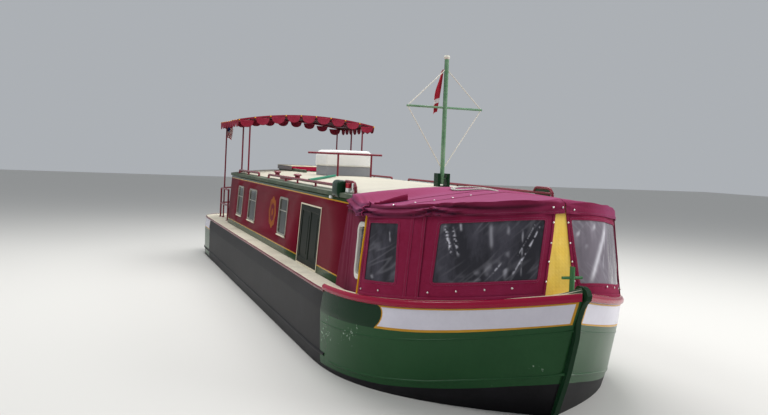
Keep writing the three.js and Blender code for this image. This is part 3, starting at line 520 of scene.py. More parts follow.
# Which paint each strip of the hull carries, from the water to the deck edge
hullPaint = {
    "blacking": [(0.0, 0.87), (0.34, 0.845), (0.57, 0.807), (0.91, 0.67), (1.4, 0.5), (2.45, 0.45), (13, 0.45)],
    "bandLow": [(0.0, 1.995), (0.35, 1.975), (0.7, 1.945), (1.0, 1.93), (1.4, 1.935), (2.6, 1.95), (13, 1.95)],
    "levels": [0.0, "blacking", 1.0, 1.7, "bandLow", "bandGold", 2.07, 2.17, 2.3, 2.45, 2.6, 2.7, 2.78, 2.85,
               2.915, 3.0],
    "bandFront": 0.118, "bandEnd": 1.355, "bandCurve": 0.075, "goldWidth": 0.013, "greenEnd": 2.42,
    "sternBand": 10.9,
}


def tableAt(table, x):
    for (x0, y0), (x1, y1) in zip(table, table[1:]):
        if x <= x1:
            return y0 + (y1 - y0) * max(0.0, (x - x0) / (x1 - x0))
    return table[-1][1]


# Places of the skin's columns: close together behind the stem and round the stern, wide apart amidships
def hullColumns():
    front, end, gold, stern = (hullPaint[key] for key in ("bandFront", "bandEnd", "goldWidth", "sternBand"))

    def run(first, step, count):
        return [("plain", first + step * i) for i in range(count)]

    marks = [0.105, front, front + gold]
    marks += [front + gold + 0.010 * (i + 0.02 * i * i) for i in range(1, 60)]
    marks = [m for m in marks if m < 0.9]
    marks += [marks[-1] + (end - gold - marks[-1]) * i / 12 for i in range(1, 12)]
    columns = [("plain", m) for m in marks] + [("curve", end - gold), ("curve", end), *run(end + 0.11, 0.045, 21)]
    columns += [("plain", hullPaint["greenEnd"]), *run(2.5, 0.1, 10), *run(3.6, 0.35, 21)]
    columns += [("sternCurve", stern), ("sternCurve", stern + gold), *run(11.02, 0.08, 7)]
    return columns + [("plain", 11.54 + 0.9575 * math.sin(math.pi / 2 * i / 26)) for i in range(1, 27)]


# Columns stand upright amidships and lean with the stem and the stern towards the ends
def columnPoint(column, level, out):
    kind, aft = column
    low = tableAt(hullPaint["bandLow"], aft)
    v = min(1.0, max(0.0, (level - low) / (2.915 - low)))
    bow = 1 - math.sqrt(1 - 0.97 * (2 * v - 1) ** 2)
    aft += {"plain": 0.0, "curve": 1, "sternCurve": -1}[kind] * hullPaint["bandCurve"] * bow
    leaning, upright = shareAt(2.5, aft), shareAt(level, aft)
    ease = smooth((aft - 0.5) / 1.7) * (1 - smooth((aft - 10.9) / 1.4))
    return hullPoint(level, min(1.0, leaning + (upright - leaning) * ease), out)


# Painted skin over the hull plates, in strips that follow the coachlines
def makeHullSkin(side, way):
    columns = hullColumns()
    looks = ["hullBlack", "hullGreen", "gold", "bandWhite", "panelGreen"]
    band = [i for i, column in enumerate(columns) if column[0] == "curve"]
    stern = [i for i, column in enumerate(columns) if column[0] == "sternCurve"]
    green = columns.index(("plain", hullPaint["greenEnd"]))
    top = len(hullPaint["levels"]) - 2

    def lookOf(i, j):
        if j == 0 or green <= i < stern[0]:
            return 0
        if j in (1, 2, 3, top) or i < 1:
            return 1
        if i in (1, band[0], stern[0]):
            return 2
        if band[1] <= i < green:
            return 4
        return 2 if j in (4, top - 1) else 3

    grid = []
    for column in columns:
        ring = []
        for level in hullPaint["levels"]:
            if level == "blacking":
                level = tableAt(hullPaint["blacking"], midships - columnPoint(column, 0.7, 0).x)
            elif level in ("bandLow", "bandGold"):
                level = tableAt(hullPaint["bandLow"], column[1]) + (0.05 if level == "bandGold" else 0)
            ring.append(mirrored(columnPoint(column, level, hull["skin"]), way))
        grid.append(ring)
    grid.append([Vector((point.x, 0, point.z)) for point in grid[-1]])
    bm = bmesh.new()
    skinRings(bm, grid, caps=False, loop=False, looks=lambda i, j: lookOf(min(i, len(columns) - 2), j))
    if way > 0:
        bmesh.ops.reverse_faces(bm, faces=bm.faces)
    piece = closeMesh("hull_skin_" + side, bm, *looks, crease=25, outwards=False)
    return fit(thickened(piece, 0.001), "hull_paint")


# A profile of (outward, up) points carried along places on the hull; away tells which way is outward
def carried(places, profile, away):
    rings = []
    for place, tangent in zip(places, tangents(places)):
        outward = tangent.cross(straightUp).normalized()
        if outward.dot(away(place)) < 0:
            outward = -outward
        rings.append([place + outward * o + Vector((0, 0, z)) for o, z in profile])
    return rings


# A line swept along one side of the hull; its path is given by distance aft and level
def sweepAlongHull(name, way, path, profile, looks, lookOf=None):
    places = [hullPoint(level, shareAt(level, aft)) for aft, level in path]
    rings = carried(places, profile, lambda place: Vector((0, 1, 0)))
    bm = bmesh.new()
    skinRings(bm, [[mirrored(point, way) for point in ring] for ring in rings], looks=lookOf)
    return closeMesh(name, bm, *looks)


# Rails at the deck edge: deep and rounded at the bow, a thin edge along the side decks, a capping round the stern
bowRail = {
    "from": 0.062, "to": 2.40, "topFaces": (1, 2, 3),
    "profile": [(-0.040, 0.0), (-0.040, 0.050), (-0.036, 0.0555), (-0.012, 0.0558), (0.002, 0.0545), (0.013, 0.050),
                (0.021, 0.042), (0.0255, 0.031), (0.027, 0.019), (0.0255, 0.007), (0.021, -0.004), (0.013, -0.011),
                (0.004, -0.014), (-0.012, -0.014), (-0.012, 0.0)],
}
deckRail = {
    "from": 2.41, "turn": 10.8, "to": 12.10, "step": 0.2, "fineStep": 0.05,
    "profile": [(0.0015, 0.001), (0.008, 0.0005), (0.0115, -0.004), (0.013, -0.012), (0.013, -0.020), (0.0115, -0.028),
                (0.007, -0.0325), (0.0015, -0.033)],
}
sternCapping = {
    "from": 12.06, "to": 12.4975, "steps": 24,
    "profile": [(-0.045, 0.0005), (-0.045, 0.004), (0.001, 0.004), (0.0065, 0.001), (0.008, -0.004),
                (0.008, -0.026), (0.005, -0.030), (0.0025, -0.030), (0.0025, 0.0005)],
}
strakes = {
    "low": {"path": [(0.27, 1.055), (0.38, 1.04), (0.67, 1.02), (0.85, 0.97), (1.05, 0.88), (1.5, 0.80), (2.2, 0.78)],
            "radius": 0.009, "look": "hullGreen"},
    "step": {"path": [(0.16, 1.87), (0.31, 1.863), (0.62, 1.83), (1.0, 1.783), (1.6, 1.74), (2.4, 1.72)],
             "radius": 0.006, "look": "hullGreen"},
    "rubbing": {"path": [(2.3, 1.02), (4.0, 1.02), (11.5, 1.02), (12.25, 1.02)], "radius": 0.014, "look": "hullBlack"},
}
deckLevel = 3.0


def finePath(start, end, step, level=deckLevel):
    count = max(2, int((end - start) / step))
    return [(start + (end - start) * i / count, level) for i in range(count + 1)]


def makeStrake(label, strake, side, way):
    table, radius = strake["path"], strake["radius"]
    path = [(aft, tableAt(table, aft)) for aft, _ in finePath(table[0][0], table[-1][0], 0.06)]
    halfRound = [(radius * math.cos(a), radius * 1.3 * math.sin(a)) for a in
                 (math.radians(d) for d in range(-90, 91, 30))]
    fit(sweepAlongHull("strake_" + label + "_" + side, way, path, halfRound, [strake["look"]]), "hull_paint")


for side, way in sides.items():
    makeHullSkin(side, way)
    path = finePath(bowRail["from"], bowRail["to"], 0.035)
    rail = sweepAlongHull("bow_moulding_" + side, way, path, bowRail["profile"], ["railRed", "cream"],
                          lookOf=lambda i, j: 1 if j in bowRail["topFaces"] else 0)
    fit(rail, "rail_paint", "bow_rail_" + side)
    path = finePath(deckRail["from"], deckRail["turn"], deckRail["step"])[:-1]
    path += finePath(deckRail["turn"], deckRail["to"], deckRail["fineStep"])
    edge = sweepAlongHull("deck_edge_" + side, way, path, deckRail["profile"], ["railMaroon"])
    fit(edge, "rail_paint", "deck_rail_" + side)
    for label, strake in strakes.items():
        makeStrake(label, strake, side, way)
print("hull skin, rails and strakes made")

fit(softened("stem_head", "stem_bar", 0.006, "panelGreen", segments=3), "hull_paint", "stem_bar")
fit(softened("bow_stud", "mooring_post", 0.003, "postGreen"), "green_paint", "mooring_post")


def makeSternCapping(setting):
    length, steps = setting["to"] - setting["from"], setting["steps"]
    places = [setting["from"] + length * math.sin(math.pi / 2 * i / steps) for i in range(steps + 1)]
    port = [hullPoint(deckLevel, shareAt(deckLevel, aft)) for aft in places]
    edge = [mirrored(p, -1) for p in port] + [Vector((port[-1].x, 0, port[-1].z))] + port[::-1]
    bm = bmesh.new()
    skinRings(bm, carried(edge, setting["profile"], lambda place: place - at(9.0, 0, place.z)))
    return fit(closeMesh("stern_capping", bm, "railMaroon"), "rail_paint")


makeSternCapping(sternCapping)

# CAD nodes that keep their own shape take their finish here
ownShape = {
    "hull_bow": "bowPlates", "hull_stern": "bowPlates", "hull_swim": "hullBlack", "hull_bottom": "bottomPlates",
    "hull_side_starboard": "hullBlack", "hull_side_port": "hullBlack", "side_deck_starboard": "deck",
    "side_deck_port": "deck", "cabin_roof": "roofPlates", "cabin_front": "cabinMaroon", "cabin_back": "cabinMaroon",
    "cabin_side_starboard": "cabinMaroon", "cabin_side_port": "cabinMaroon", "engine": "engine", "propeller": "bronze",
}
for node, look in ownShape.items():
    nodes[node].data.materials.clear()
    nodes[node].data.materials.append(finishes[look])
print("hull nodes painted")


# Cabin side in strips: green at the foot and the eave, gold coachlines, maroon between
cabin = {
    "front": 2.36, "back": 10.10, "foot": 1.290, "lean": (1.290 - 1.235) / 0.91, "proud": 0.001,
    "lines": [1.3803, 1.463, 1.477, 2.236, 2.250, 2.290],
    "looks": ["bandGreen", "gold", "cabinMaroon", "gold", "bandGreen"],
    "windowLow": 1.63, "windowHigh": 2.11,
    "starboard": [(8.67, 9.15), (7.45, 8.05), (5.21, 5.68)],
    "port": [(8.30, 8.90), (6.30, 7.20), (3.90, 4.80)],
    "names": ["aft", "middle", "fore"],
}
sideDoor = {
    "opening": (3.52, 4.45, 1.40, 2.11), "leaf": (3.5203, 4.444, 1.406, 2.104), "thickness": 0.037, "sunk": 0.009,
    "panels": [(0.08, 0.47, 0.08, 0.92), (0.53, 0.92, 0.08, 0.92)],
    "bead": {"opening": (3.516, 4.452, 1.399, 2.112), "width": 0.016, "proud": 0.006},
}
endDoor = {"panels": [(0.18, 0.82, 0.08, 0.45), (0.18, 0.82, 0.53, 0.92)], "sunk": 0.007}


# A place on the leaning cabin side
def wallPoint(aft, z, way, out=0.0):
    return at(aft, way * (cabin["foot"] + out - cabin["lean"] * (z - deckHeight)), z)


# Four corners on the cabin side from (front, back, low, high)
def wallCorners(box, way, out, grow=0.0):
    front, back, low, high = box[0] - grow, box[1] + grow, box[2] - grow, box[3] + grow
    return [wallPoint(aft, z, way, out) for aft, z in ((front, low), (back, low), (back, high), (front, high))]


# Painted facing over one cabin side, with its openings left out
def makeCabinFacing(side, way):
    openings = [(a, b, cabin["windowLow"], cabin["windowHigh"]) for a, b in cabin[side]]
    if way < 0:
        openings.append(sideDoor["opening"])
    cuts = sorted({cabin["front"], cabin["back"], *[x for o in openings for x in o[:2]]})
    heights = sorted({*cabin["lines"], *[z for o in openings for z in o[2:]]})
    looks = list(dict.fromkeys(cabin["looks"]))
    bm = bmesh.new()
    for a, b in zip(cuts, cuts[1:]):
        for low, high in zip(heights, heights[1:]):
            aft, z = (a + b) / 2, (low + high) / 2
            if any(o[0] < aft < o[1] and o[2] < z < o[3] for o in openings):
                continue
            strip = max(i for i, line in enumerate(cabin["lines"]) if line <= low + 1e-6)
            corners = wallCorners((a, b, low, high), way, cabin["proud"])[::way]
            face = bm.faces.new([bm.verts.new(corner) for corner in corners])
            face.material_index = looks.index(cabin["looks"][strip])
    bmesh.ops.remove_doubles(bm, verts=bm.verts, dist=1e-4)
    piece = closeMesh("cabin_facing_" + side, bm, *looks, outwards=False)
    return fit(thickened(piece, 0.0008), "cabin_paint")


def roundedBox(width, height, radius, steps=6):
    outline = []
    for cx, cz, start in ((1, 1, 0), (-1, 1, 90), (-1, -1, 180), (1, -1, 270)):
        for angle in (math.radians(start + 90 * i / steps) for i in range(steps + 1)):
            outline.append((cx * (width / 2 - radius) + radius * math.cos(angle),
                            cz * (height / 2 - radius) + radius * math.sin(angle)))
    return outline


window = {"lap": 0.022, "frame": 0.028, "proud": 0.011, "radius": 0.055, "glassIn": 0.006, "glassThick": 0.005,
          "depth": 0.02, "bar": 0.34, "barDiameter": 0.016, "sillDiameter": 0.022}


# A window in its frame: a rounded aluminium ring on the wall, glass set back in it, a hopper bar and a cream sill
def makeWindow(side, way, label, start, end):
    middle, low, high = (start + end) / 2, cabin["windowLow"], cabin["windowHigh"]
    width, height = end - start + 2 * window["lap"], high - low + 2 * window["lap"]
    frameWidth, proud, depth = window["frame"], window["proud"], window["depth"]

    def ring(inset, out):
        outline = roundedBox(width - 2 * inset, height - 2 * inset, max(0.01, window["radius"] - inset))
        return [wallPoint(middle + u, (low + high) / 2 + v, way, out) for u, v in outline]

    def bar(inset, z, out, diameter, look=0):
        tube(bm, [wallPoint(start + inset, z, way, out), wallPoint(end - inset, z, way, out)], diameter, 8, look)

    bm = bmesh.new()
    rings = [ring(inset, out) for inset, out in (
        (0, -0.001), (0, proud - 0.003), (0.003, proud), (frameWidth - 0.004, proud), (frameWidth, proud - 0.004),
        (frameWidth, -depth), (frameWidth - 0.012, -depth), (0.03, -0.001))]
    skinRings(bm, rings + [rings[0]], caps=False)
    skinRings(bm, [ring(frameWidth - 0.002, -window["glassIn"] - thick) for thick in (window["glassThick"], 0)], look=1)
    bar(0.014, high - window["bar"] * (high - low), -0.001, window["barDiameter"])
    bar(-0.01, low - window["lap"] - 0.004, 0.012, window["sillDiameter"], look=2)
    piece = closeMesh("window_frame_" + side + "_" + label, bm, "aluminium", "glass", "cream", crease=40)
    return fit(piece, "window_glass", "window_" + side + "_" + label)


for side, way in sides.items():
    makeCabinFacing(side, way)
    for label, (start, end) in zip(cabin["names"], cabin[side]):
        makeWindow(side, way, label, start, end)
print("cabin sides and windows made")


# A door leaf with sunk panels on both faces. The faces are given by four corners, outer then inner.
def panelledLeaf(name, outer, inner, panels, sink, look):
    def facePoint(face, u, v):
        return face[0].lerp(face[1], u).lerp(face[3].lerp(face[2], u), v)

    cutsU = sorted({0.0, 1.0, *[x for p in panels for x in p[:2]]})
    cutsV = sorted({0.0, 1.0, *[x for p in panels for x in p[2:]]})
    inward = (inner[0] - outer[0]).normalized() * sink
    # how far in from the edge of the panel and how deep each step of its moulding lies
    moulding = ((0, 0), (0.05, 1), (0.16, 1), (0.24, 0.35))
    bm = bmesh.new()
    for face, depth in ((outer, inward), (inner, -inward)):
        for u0, u1 in zip(cutsU, cutsU[1:]):
            for v0, v1 in zip(cutsV, cutsV[1:]):
                corners = [facePoint(face, u, v) for u, v in ((u0, v0), (u1, v0), (u1, v1), (u0, v1))]
                if any(p[0] <= u0 and u1 <= p[1] and p[2] <= v0 and v1 <= p[3] for p in panels):
                    centre = sum(corners, Vector()) / 4
                    steps = [[c + (centre - c) * inset + depth * share for c in corners] for inset, share in moulding]
                    skinRings(bm, steps, caps=False)
                    corners = steps[-1]
                bm.faces.new([bm.verts.new(c) for c in corners])
    rim = [(u, 0.0) for u in cutsU[:-1]] + [(1.0, v) for v in cutsV[:-1]]
    rim += [(u, 1.0) for u in reversed(cutsU[1:])] + [(0.0, v) for v in reversed(cutsV[1:])]
    skinRings(bm, [[facePoint(face, u, v) for u, v in rim] for face in (outer, inner)], caps=False)
    return closeMesh(name, bm, look, crease=20, weld=1e-4)


# The side door's leaf, and a pale bead round its opening, clear of the swinging leaf
def makeSideDoor(setting):
    outer = wallCorners(setting["leaf"], -1, cabin["proud"])
    inner = [point + Vector((0, setting["thickness"], 0)) for point in outer]
    leaf = panelledLeaf("side_door_leaf", outer, inner, setting["panels"], setting["sunk"], "doorGreen")
    fit(leaf, "cabin_paint", "side_door", body="side_door")
    bead = setting["bead"]
    rings = [wallCorners(bead["opening"], -1, out, grow) for grow, out in (
        (bead["width"], 0.0003), (bead["width"], bead["proud"]), (0, bead["proud"]), (0, 0.0003))]
    bm = bmesh.new()
    skinRings(bm, rings + [rings[0]], caps=False)
    return fit(closeMesh("side_door_bead", bm, "cream"), "cabin_paint")


def makeEndDoor(node, outward):
    low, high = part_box(node)
    faces = [[Vector((x, y, z)) for y, z in ((low.y, low.z), (high.y, low.z), (high.y, high.z), (low.y, high.z))]
             for x in (low.x, high.x)][::-outward]
    end, side = node.split("_door_")
    door = panelledLeaf(end + "_door_leaf_" + side, *faces, endDoor["panels"], endDoor["sunk"], "wood")
    fit(door, "door_wood", node, body=node)


makeSideDoor(sideDoor)
for side in sides:
    makeEndDoor("front_door_" + side, 1)
    makeEndDoor("back_door_" + side, -1)
print("doors made")


# Bow canvas: its edge in plan from the nose to behind the cabin front, as (aft, half width) at foot and at eave.
# Windows are given by plan row at foot and head and by share of the height; flat is the length of panel and pane; shade
# is painted shade laid over the panel.
bowCanvas = {
    "plan": [((0.345, 0.100), (0.425, 0.085)), ((0.350, 0.300), (0.440, 0.260)), ((0.450, 0.510), (0.530, 0.450)),
             ((0.600, 0.674), (0.670, 0.605)), ((0.800, 0.862), (0.860, 0.790)), ((1.050, 1.054), (1.100, 0.975)),
             ((1.350, 1.225), (1.385, 1.145)), ((1.700, 1.359), (1.720, 1.275)), ((2.150, 1.318), (2.150, 1.270)),
             ((2.345, 1.303), (2.345, 1.264)), ((2.660, 1.300), (2.457, 1.252))],
    "eave": 2.24, "noseRise": 0.245, "crown": 2.434, "hem": 0.085, "thickness": 0.003, "slack": 0.009,
    "windows": {
        "front": {"foot": (1.39, 5.08), "head": (0.85, 4.97), "v": (0.175, 0.84), "mesh": (150, 80),
                  "flat": (1.45, 1.1), "columns": (8, 44, 8), "lift": 0.0, "paneIn": 0.005, "look": "vinyl",
                  "shade": 0.0},
        "middle": {"foot": (6.145, 7.30), "head": (6.31, 7.39), "v": (0.16, 0.845), "mesh": (50, 80),
                   "flat": (1.0, 0.45), "columns": (8, 18, 4), "lift": 0.006, "paneIn": 0.005, "look": "vinyl",
                   "shade": 0.0},
        "aft": {"foot": (7.50, 7.84), "head": (7.54, 8.06), "v": (0.20, 0.80), "mesh": (24, 60),
                "flat": (1.0, 0.25), "columns": (4, 8, 40), "lift": -0.002, "paneIn": 0.020, "look": "vinyl",
                "shade": 0.45},
    },
    "portFront": {"foot": (0.76, 5.08), "head": (0.25, 4.97), "v": (0.13, 0.845), "mesh": (170, 80),
                  "look": "vinylLit"},
    "yellow": {"starboard": (1.02, 0.44), "port": (-0.47, -0.10)},
    "sideEdge": 7.52, "overlap": 5.42, "back": 10.5,
    "binding": (0.026, 0.0026), "piping": 0.024, "doubled": (0.030, 0.0024), "yellowEdge": (0.022, 0.0024),
    "welt": [(-0.022, -0.024), (0.022, -0.024), (0.024, 0.004), (0.016, 0.011), (-0.016, 0.011), (-0.024, 0.004)],
    "snaps": [(7.36, 0.066), (6.73, 0.076), (5.11, 0.086), (4.23, 0.100), (3.27, 0.108), (2.25, 0.112)],
    "yellowSnaps": [0.80, 0.58, 0.38, 0.17],
}
# Creases drawn as painted highlights on the vinyl: from and to as (row, height share), width in metres, strength, and
# how broken up
paintedHighlights = {
    "starboard": [
        ((1.24, 0.77), (2.30, 0.24), 0.007, 1.0, 38), ((1.45, 0.80), (2.10, 0.46), 0.004, 0.8, 60),
        ((4.80, 0.80), (4.52, 0.50), 0.012, 1.0, 55), ((4.55, 0.78), (4.28, 0.48), 0.010, 0.8, 60),
        ((3.24, 0.80), (3.14, 0.54), 0.018, 0.34, 0), ((2.46, 0.81), (2.54, 0.22), 0.020, 0.46, 9),
        ((1.96, 0.80), (1.97, 0.24), 0.006, 0.4, 14), ((4.95, 0.10), (2.60, 0.42), 0.030, 0.20, 12),
        ((4.70, 0.06), (3.00, 0.30), 0.022, 0.16, 12), ((3.20, 0.22), (2.70, 0.38), 0.007, 0.8, 40),
        ((4.30, 0.82), (4.26, 0.74), 0.010, 0.7, 0), ((6.60, 0.74), (6.54, 0.62), 0.006, 0.5, 20),
        ((7.05, 0.24), (7.00, 0.20), 0.012, 0.3, 0)],
    "port": [
        ((2.70, 0.80), (1.30, 0.16), 0.030, 0.75, 0), ((1.85, 0.79), (1.15, 0.54), 0.020, 0.6, 8),
        ((1.35, 0.79), (0.66, 0.66), 0.016, 0.6, 8), ((0.42, 0.80), (0.90, 0.82), 0.014, 0.5, 10),
        ((2.60, 0.76), (2.20, 0.30), 0.012, 0.3, 12), ((6.60, 0.78), (6.30, 0.30), 0.010, 0.4, 12)],
}


def eaveHeight(aft):
    return bowCanvas["eave"] + bowCanvas["noseRise"] * max(0.0, 1 - aft / 2.2) ** 2


# Smooth line round the canvas: q counts plan rows from the nose, negative to port
def canvasEdge(q, eave):
    rows = bowCanvas["plan"]

    def control(k):
        port = k < 0
        aft, half = rows[min(len(rows) - 1, -k - 1 if port else k)][1 if eave else 0]
        z = eaveHeight(aft) if eave else deckHeight + 0.30 * sheer(aft) + 0.002 + 0.05 * smooth((2.2 - aft) / 0.4)
        return at(aft, half if port else -half, z)

    k = math.floor(q - 0.5)
    t = q - 0.5 - k
    p0, p1, p2, p3 = (control(k + i) for i in (-1, 0, 1, 2))
    return 0.5 * (2 * p1 + (p2 - p0) * t + (2 * p0 - 5 * p1 + 4 * p2 - p3) * t * t
                  + (3 * p1 - p0 - 3 * p2 + p3) * t ** 3)


# A place on the canvas wall: v runs from 0 at the foot to 1 at the eave
def canvasWall(q, v, out=0.0):
    foot, eave = canvasEdge(q, False), canvasEdge(q, True)
    place = foot.lerp(eave, v)
    along = canvasEdge(q + 0.05, False) - canvasEdge(q - 0.05, False)
    outward = along.cross(eave - foot).normalized()
    if outward.dot(fromWell(place)) < 0:
        outward = -outward
    return place + outward * out


# Out from the middle of the well
def fromWell(place):
    return place - at(1.6, 0, place.z)


# How far the cloth stands out of its plane: slack between its fixings, and pulls towards the corners
def clothSlack(q, v):
    spot = Vector((q * 1.3, v * 2.2, 3.1))
    crease = noise.noise(spot * 1.4) + 0.5 * noise.noise(spot * 3.7)
    fold = 0.5 * math.sin(11 * abs(q) + 1.5 * v) * smooth((abs(q) - 8.3) / 0.6)
    hold = math.sin(math.pi * min(1.0, max(0.0, v))) ** 0.6
    return bowCanvas["slack"] * (0.55 * crease + fold) * hold


# Places on the slack cloth and the directions that point out of it there
def onWall(points, lift):
    path = [canvasWall(q, v, lift + clothSlack(q, v)) for q, v in points]
    return path, [(canvasWall(q, v, 0.05) - canvasWall(q, v)).normalized() for q, v in points]


# A strip of tape or a piping sewn along a path; its profile is given sideways and outwards
def tape(bm, path, outwards, profile, closed=False):
    rings = []
    for i, place in enumerate(path):
        ahead = path[(i + 1) % len(path)] if closed or i + 1 < len(path) else place
        behind = path[i - 1] if closed or i > 0 else place
        aside = (ahead - behind).cross(outwards[i]).normalized()
        rings.append([place + aside * u + outwards[i] * w for u, w in profile])
    skinRings(bm, rings + rings[:1] if closed else rings, caps=not closed)


def flatStrip(width, thick):
    half, shoulder = width / 2, thick * 0.6
    return [(-half, -thick), (half, -thick), (half, shoulder), (half - 0.0015, thick), (-half + 0.0015, thick),
            (-half, shoulder)]


# A sheet of cloth with its thickness on the inside, and its area
def sheetPiece(name, bm, look, thickness, outward, underLook=None):
    bmesh.ops.remove_doubles(bm, verts=bm.verts, dist=1e-5)
    bm.normal_update()
    if sum(face.normal.dot(outward(face.calc_center_median())) * face.calc_area() for face in bm.faces) < 0:
        bmesh.ops.reverse_faces(bm, faces=bm.faces)
    area = sum(face.calc_area() for face in bm.faces)
    looks = [look, underLook] if underLook else [look]
    piece = closeMesh(name, bm, *looks, crease=60, outwards=False)
    return thickened(piece, thickness, crease=60, underLook=len(looks) - 1), area


# Even steps from mark to mark, so many in each stretch
def spread(marks, counts):
    values = [marks[0]]
    for a, b, count in zip(marks, marks[1:], counts):
        values += [a + (b - a) * (k + 1) / count for k in range(count)]
    return values


# Where a window lies at a height, from its first edge (0) to its last (1)
def holeEdge(hole, share, v):
    low = hole["foot"][0] + (hole["foot"][1] - hole["foot"][0]) * share
    high = hole["head"][0] + (hole["head"][1] - hole["head"][0]) * share
    return low + (high - low) * v


# One panel of the canvas wall between two upright lines, with a window left out of it
def wallPanel(name, left, right, look, columns, hole=None, sign=1, lift=0.0, shade=0.0):
    rows = (8, 22, 8)
    heights = spread([0, *hole["v"], 1.0], rows) if hole else spread([0, 1.0], [sum(rows)])
    bm = bmesh.new()
    dark = bm.verts.layers.float.new("shade")
    grid = []
    for v in heights:
        marks = [left[0] + (left[1] - left[0]) * v, right[0] + (right[1] - right[0]) * v]
        if hole:
            marks[1:1] = [sign * holeEdge(hole, 0, v), sign * holeEdge(hole, 1, v)]
        qs = spread(marks, columns if hole else [sum(columns)])
        grid.append([bm.verts.new(canvasWall(q, v, lift + clothSlack(q, v))) for q in qs])
        # painted shade: darker towards the top, in the shadow of the hem, and over the whole panel by shade
        for vert in grid[-1]:
            vert[dark] = shade + 0.5 * smooth((v - 0.86) / 0.1)
    gridFaces(bm, grid, lambda i, j: hole and rows[0] <= i < rows[0] + rows[1]
              and columns[0] <= j < columns[0] + columns[1])
    return sheetPiece(name, bm, look, bowCanvas["thickness"], fromWell)


# How much painted highlight the vinyl gets at a place: along its own creases, and along fine ones all over that mostly
# run down towards the stern
def paintedHighlightAt(q, v, lines):
    spot = Vector((q * 0.27, v * 0.9, 0))
    total = 0.0
    for (q0, v0), (q1, v1), width, strength, broken in lines:
        start, end = Vector((q0 * 0.27, v0 * 0.9, 0)), Vector((q1 * 0.27, v1 * 0.9, 0))
        t = max(0.0, min(1.0, (spot - start).dot(end - start) / (end - start).length_squared))
        wander = 0.006 * noise.noise(spot * 14 + Vector((q0, v0, 0)))
        away = ((spot - start.lerp(end, t)).length + wander) / width
        if away < 3:
            cut = 1.0 if not broken else smooth(0.5 + 2.2 * noise.noise(spot * broken + Vector((0, 0, q0))))
            total += strength * math.exp(-away * away) * cut * smooth(4 * t + 0.3) * smooth(4 - 4 * t + 0.3)
    slant = Vector((spot.x * 1.0 + spot.y * 1.2, (spot.y - spot.x * 0.8) * 0.22, 4.0)) * 9
    ridge = 1 - abs(noise.noise(slant)) * 7
    patch = smooth(0.5 + 1.6 * noise.noise(spot * 3.1 + Vector((0, 5, 0))))
    return min(1.0, total + 0.11 * max(0.0, ridge) * patch)


# A sheet of vinyl behind its window, with the painted highlights of its creases as an attribute and the creases as
# small ridges
def vinylPane(name, hole, side, sign, lift, lap=0.02):
    bm = bmesh.new()
    crease = bm.verts.layers.float.new("crease")
    across, upright = hole["mesh"]
    low, high = hole["v"][0] - lap, hole["v"][1] + lap
    pale = {}

    def place(row, column):
        v = low + (high - low) * row
        q = holeEdge(hole, -0.02 + 1.04 * column, v)
        pale[row, column] = paintedHighlightAt(q, v, paintedHighlights[side])
        wave = 0.005 * noise.noise(Vector((q * 2.3, v * 1.1, 7.7 * sign))) * math.sin(math.pi * row)
        return canvasWall(sign * q, v, lift + clothSlack(sign * q, v) + wave + 0.003 * pale[row, column])

    grid = gridPoints(bm, upright, across, place)
    for i, row in enumerate(grid):
        for j, vert in enumerate(row):
            vert[crease] = pale[i / upright, j / across]
    gridFaces(bm, grid)
    return sheetPiece(name, bm, hole["look"], 0.0012, fromWell)


# Points round a window as (row, height), with rounded corners and at most 30 mm apart
def windowLoop(hole, sign, grow=0.0, corner=0.03):
    low, high = hole["v"]
    middle = (low + high) / 2
    a, b = (canvasWall(sign * holeEdge(hole, share, middle), middle) for share in (0, 1))
    centre = sign * holeEdge(hole, 0.5, middle)
    width, height = (b - a).length, (canvasWall(centre, high) - canvasWall(centre, low)).length
    outline = roundedBox(width + 2 * grow, height + 2 * grow, corner + grow)
    points = []
    for (x0, y0), (x1, y1) in zip(outline, outline[1:] + outline[:1]):
        count = max(1, int(math.hypot(x1 - x0, y1 - y0) / 0.03))
        for k in range(count):
            x, y = x0 + (x1 - x0) * k / count, y0 + (y1 - y0) * k / count
            v = low + (high - low) * (0.5 + y / height)
            points.append((sign * holeEdge(hole, 0.5 + x / width, v), v))
    return points


stitchLines, snaps = [], []


# Even steps on the wall from one (row, height) to another
def wallLine(start, end, count=40):
    return [(start[0] + (end[0] - start[0]) * i / count, start[1] + (end[1] - start[1]) * i / count)
            for i in range(count + 1)]


def sewOn(bm, points, lift, profile, closed=False):
    tape(bm, *onWall(points, lift), profile, closed)


# A panel of the wall with its pane, and the binding or the welt round it
def makeCanvasPanel(label, side, sign, left, right):
    hole = bowCanvas["windows"][label]
    if (label, side) == ("front", "port"):
        hole = {**hole, **bowCanvas["portFront"]}
    lift = hole["lift"]
    panel, area = wallPanel("canvas_wall_" + label + "_" + side, (sign * left[0], sign * left[1]),
                            (sign * right, sign * right), "canvas", hole["columns"], hole, sign, lift, hole["shade"])
    fit(panel, "maroon_canvas", *(["canvas_side_" + side] if label == "front" else []))
    pane, area = vinylPane("vinyl_" + label + "_" + side, hole, side, sign, lift - hole["paneIn"])
    fit(pane, "maroon_canvas")
    bm = bmesh.new()
    if label == "aft":
        # a moulded welt with rounded corners frames the narrow window
        sewOn(bm, windowLoop(hole, sign, 0.004, 0.06), lift, bowCanvas["welt"], closed=True)
        fit(closeMesh("window_welt_" + side, bm, "welt"), "maroon_canvas")
        return
    sewOn(bm, windowLoop(hole, sign), lift, flatStrip(*bowCanvas["binding"]), closed=True)
    fit(closeMesh("window_binding_" + label + "_" + side, bm, "canvas"), "maroon_canvas")
    for grow in (-0.009, 0.009):
        loop = windowLoop(hole, sign, grow)
        stitchLines.append(onWall(loop + loop[:1], lift + 0.003))


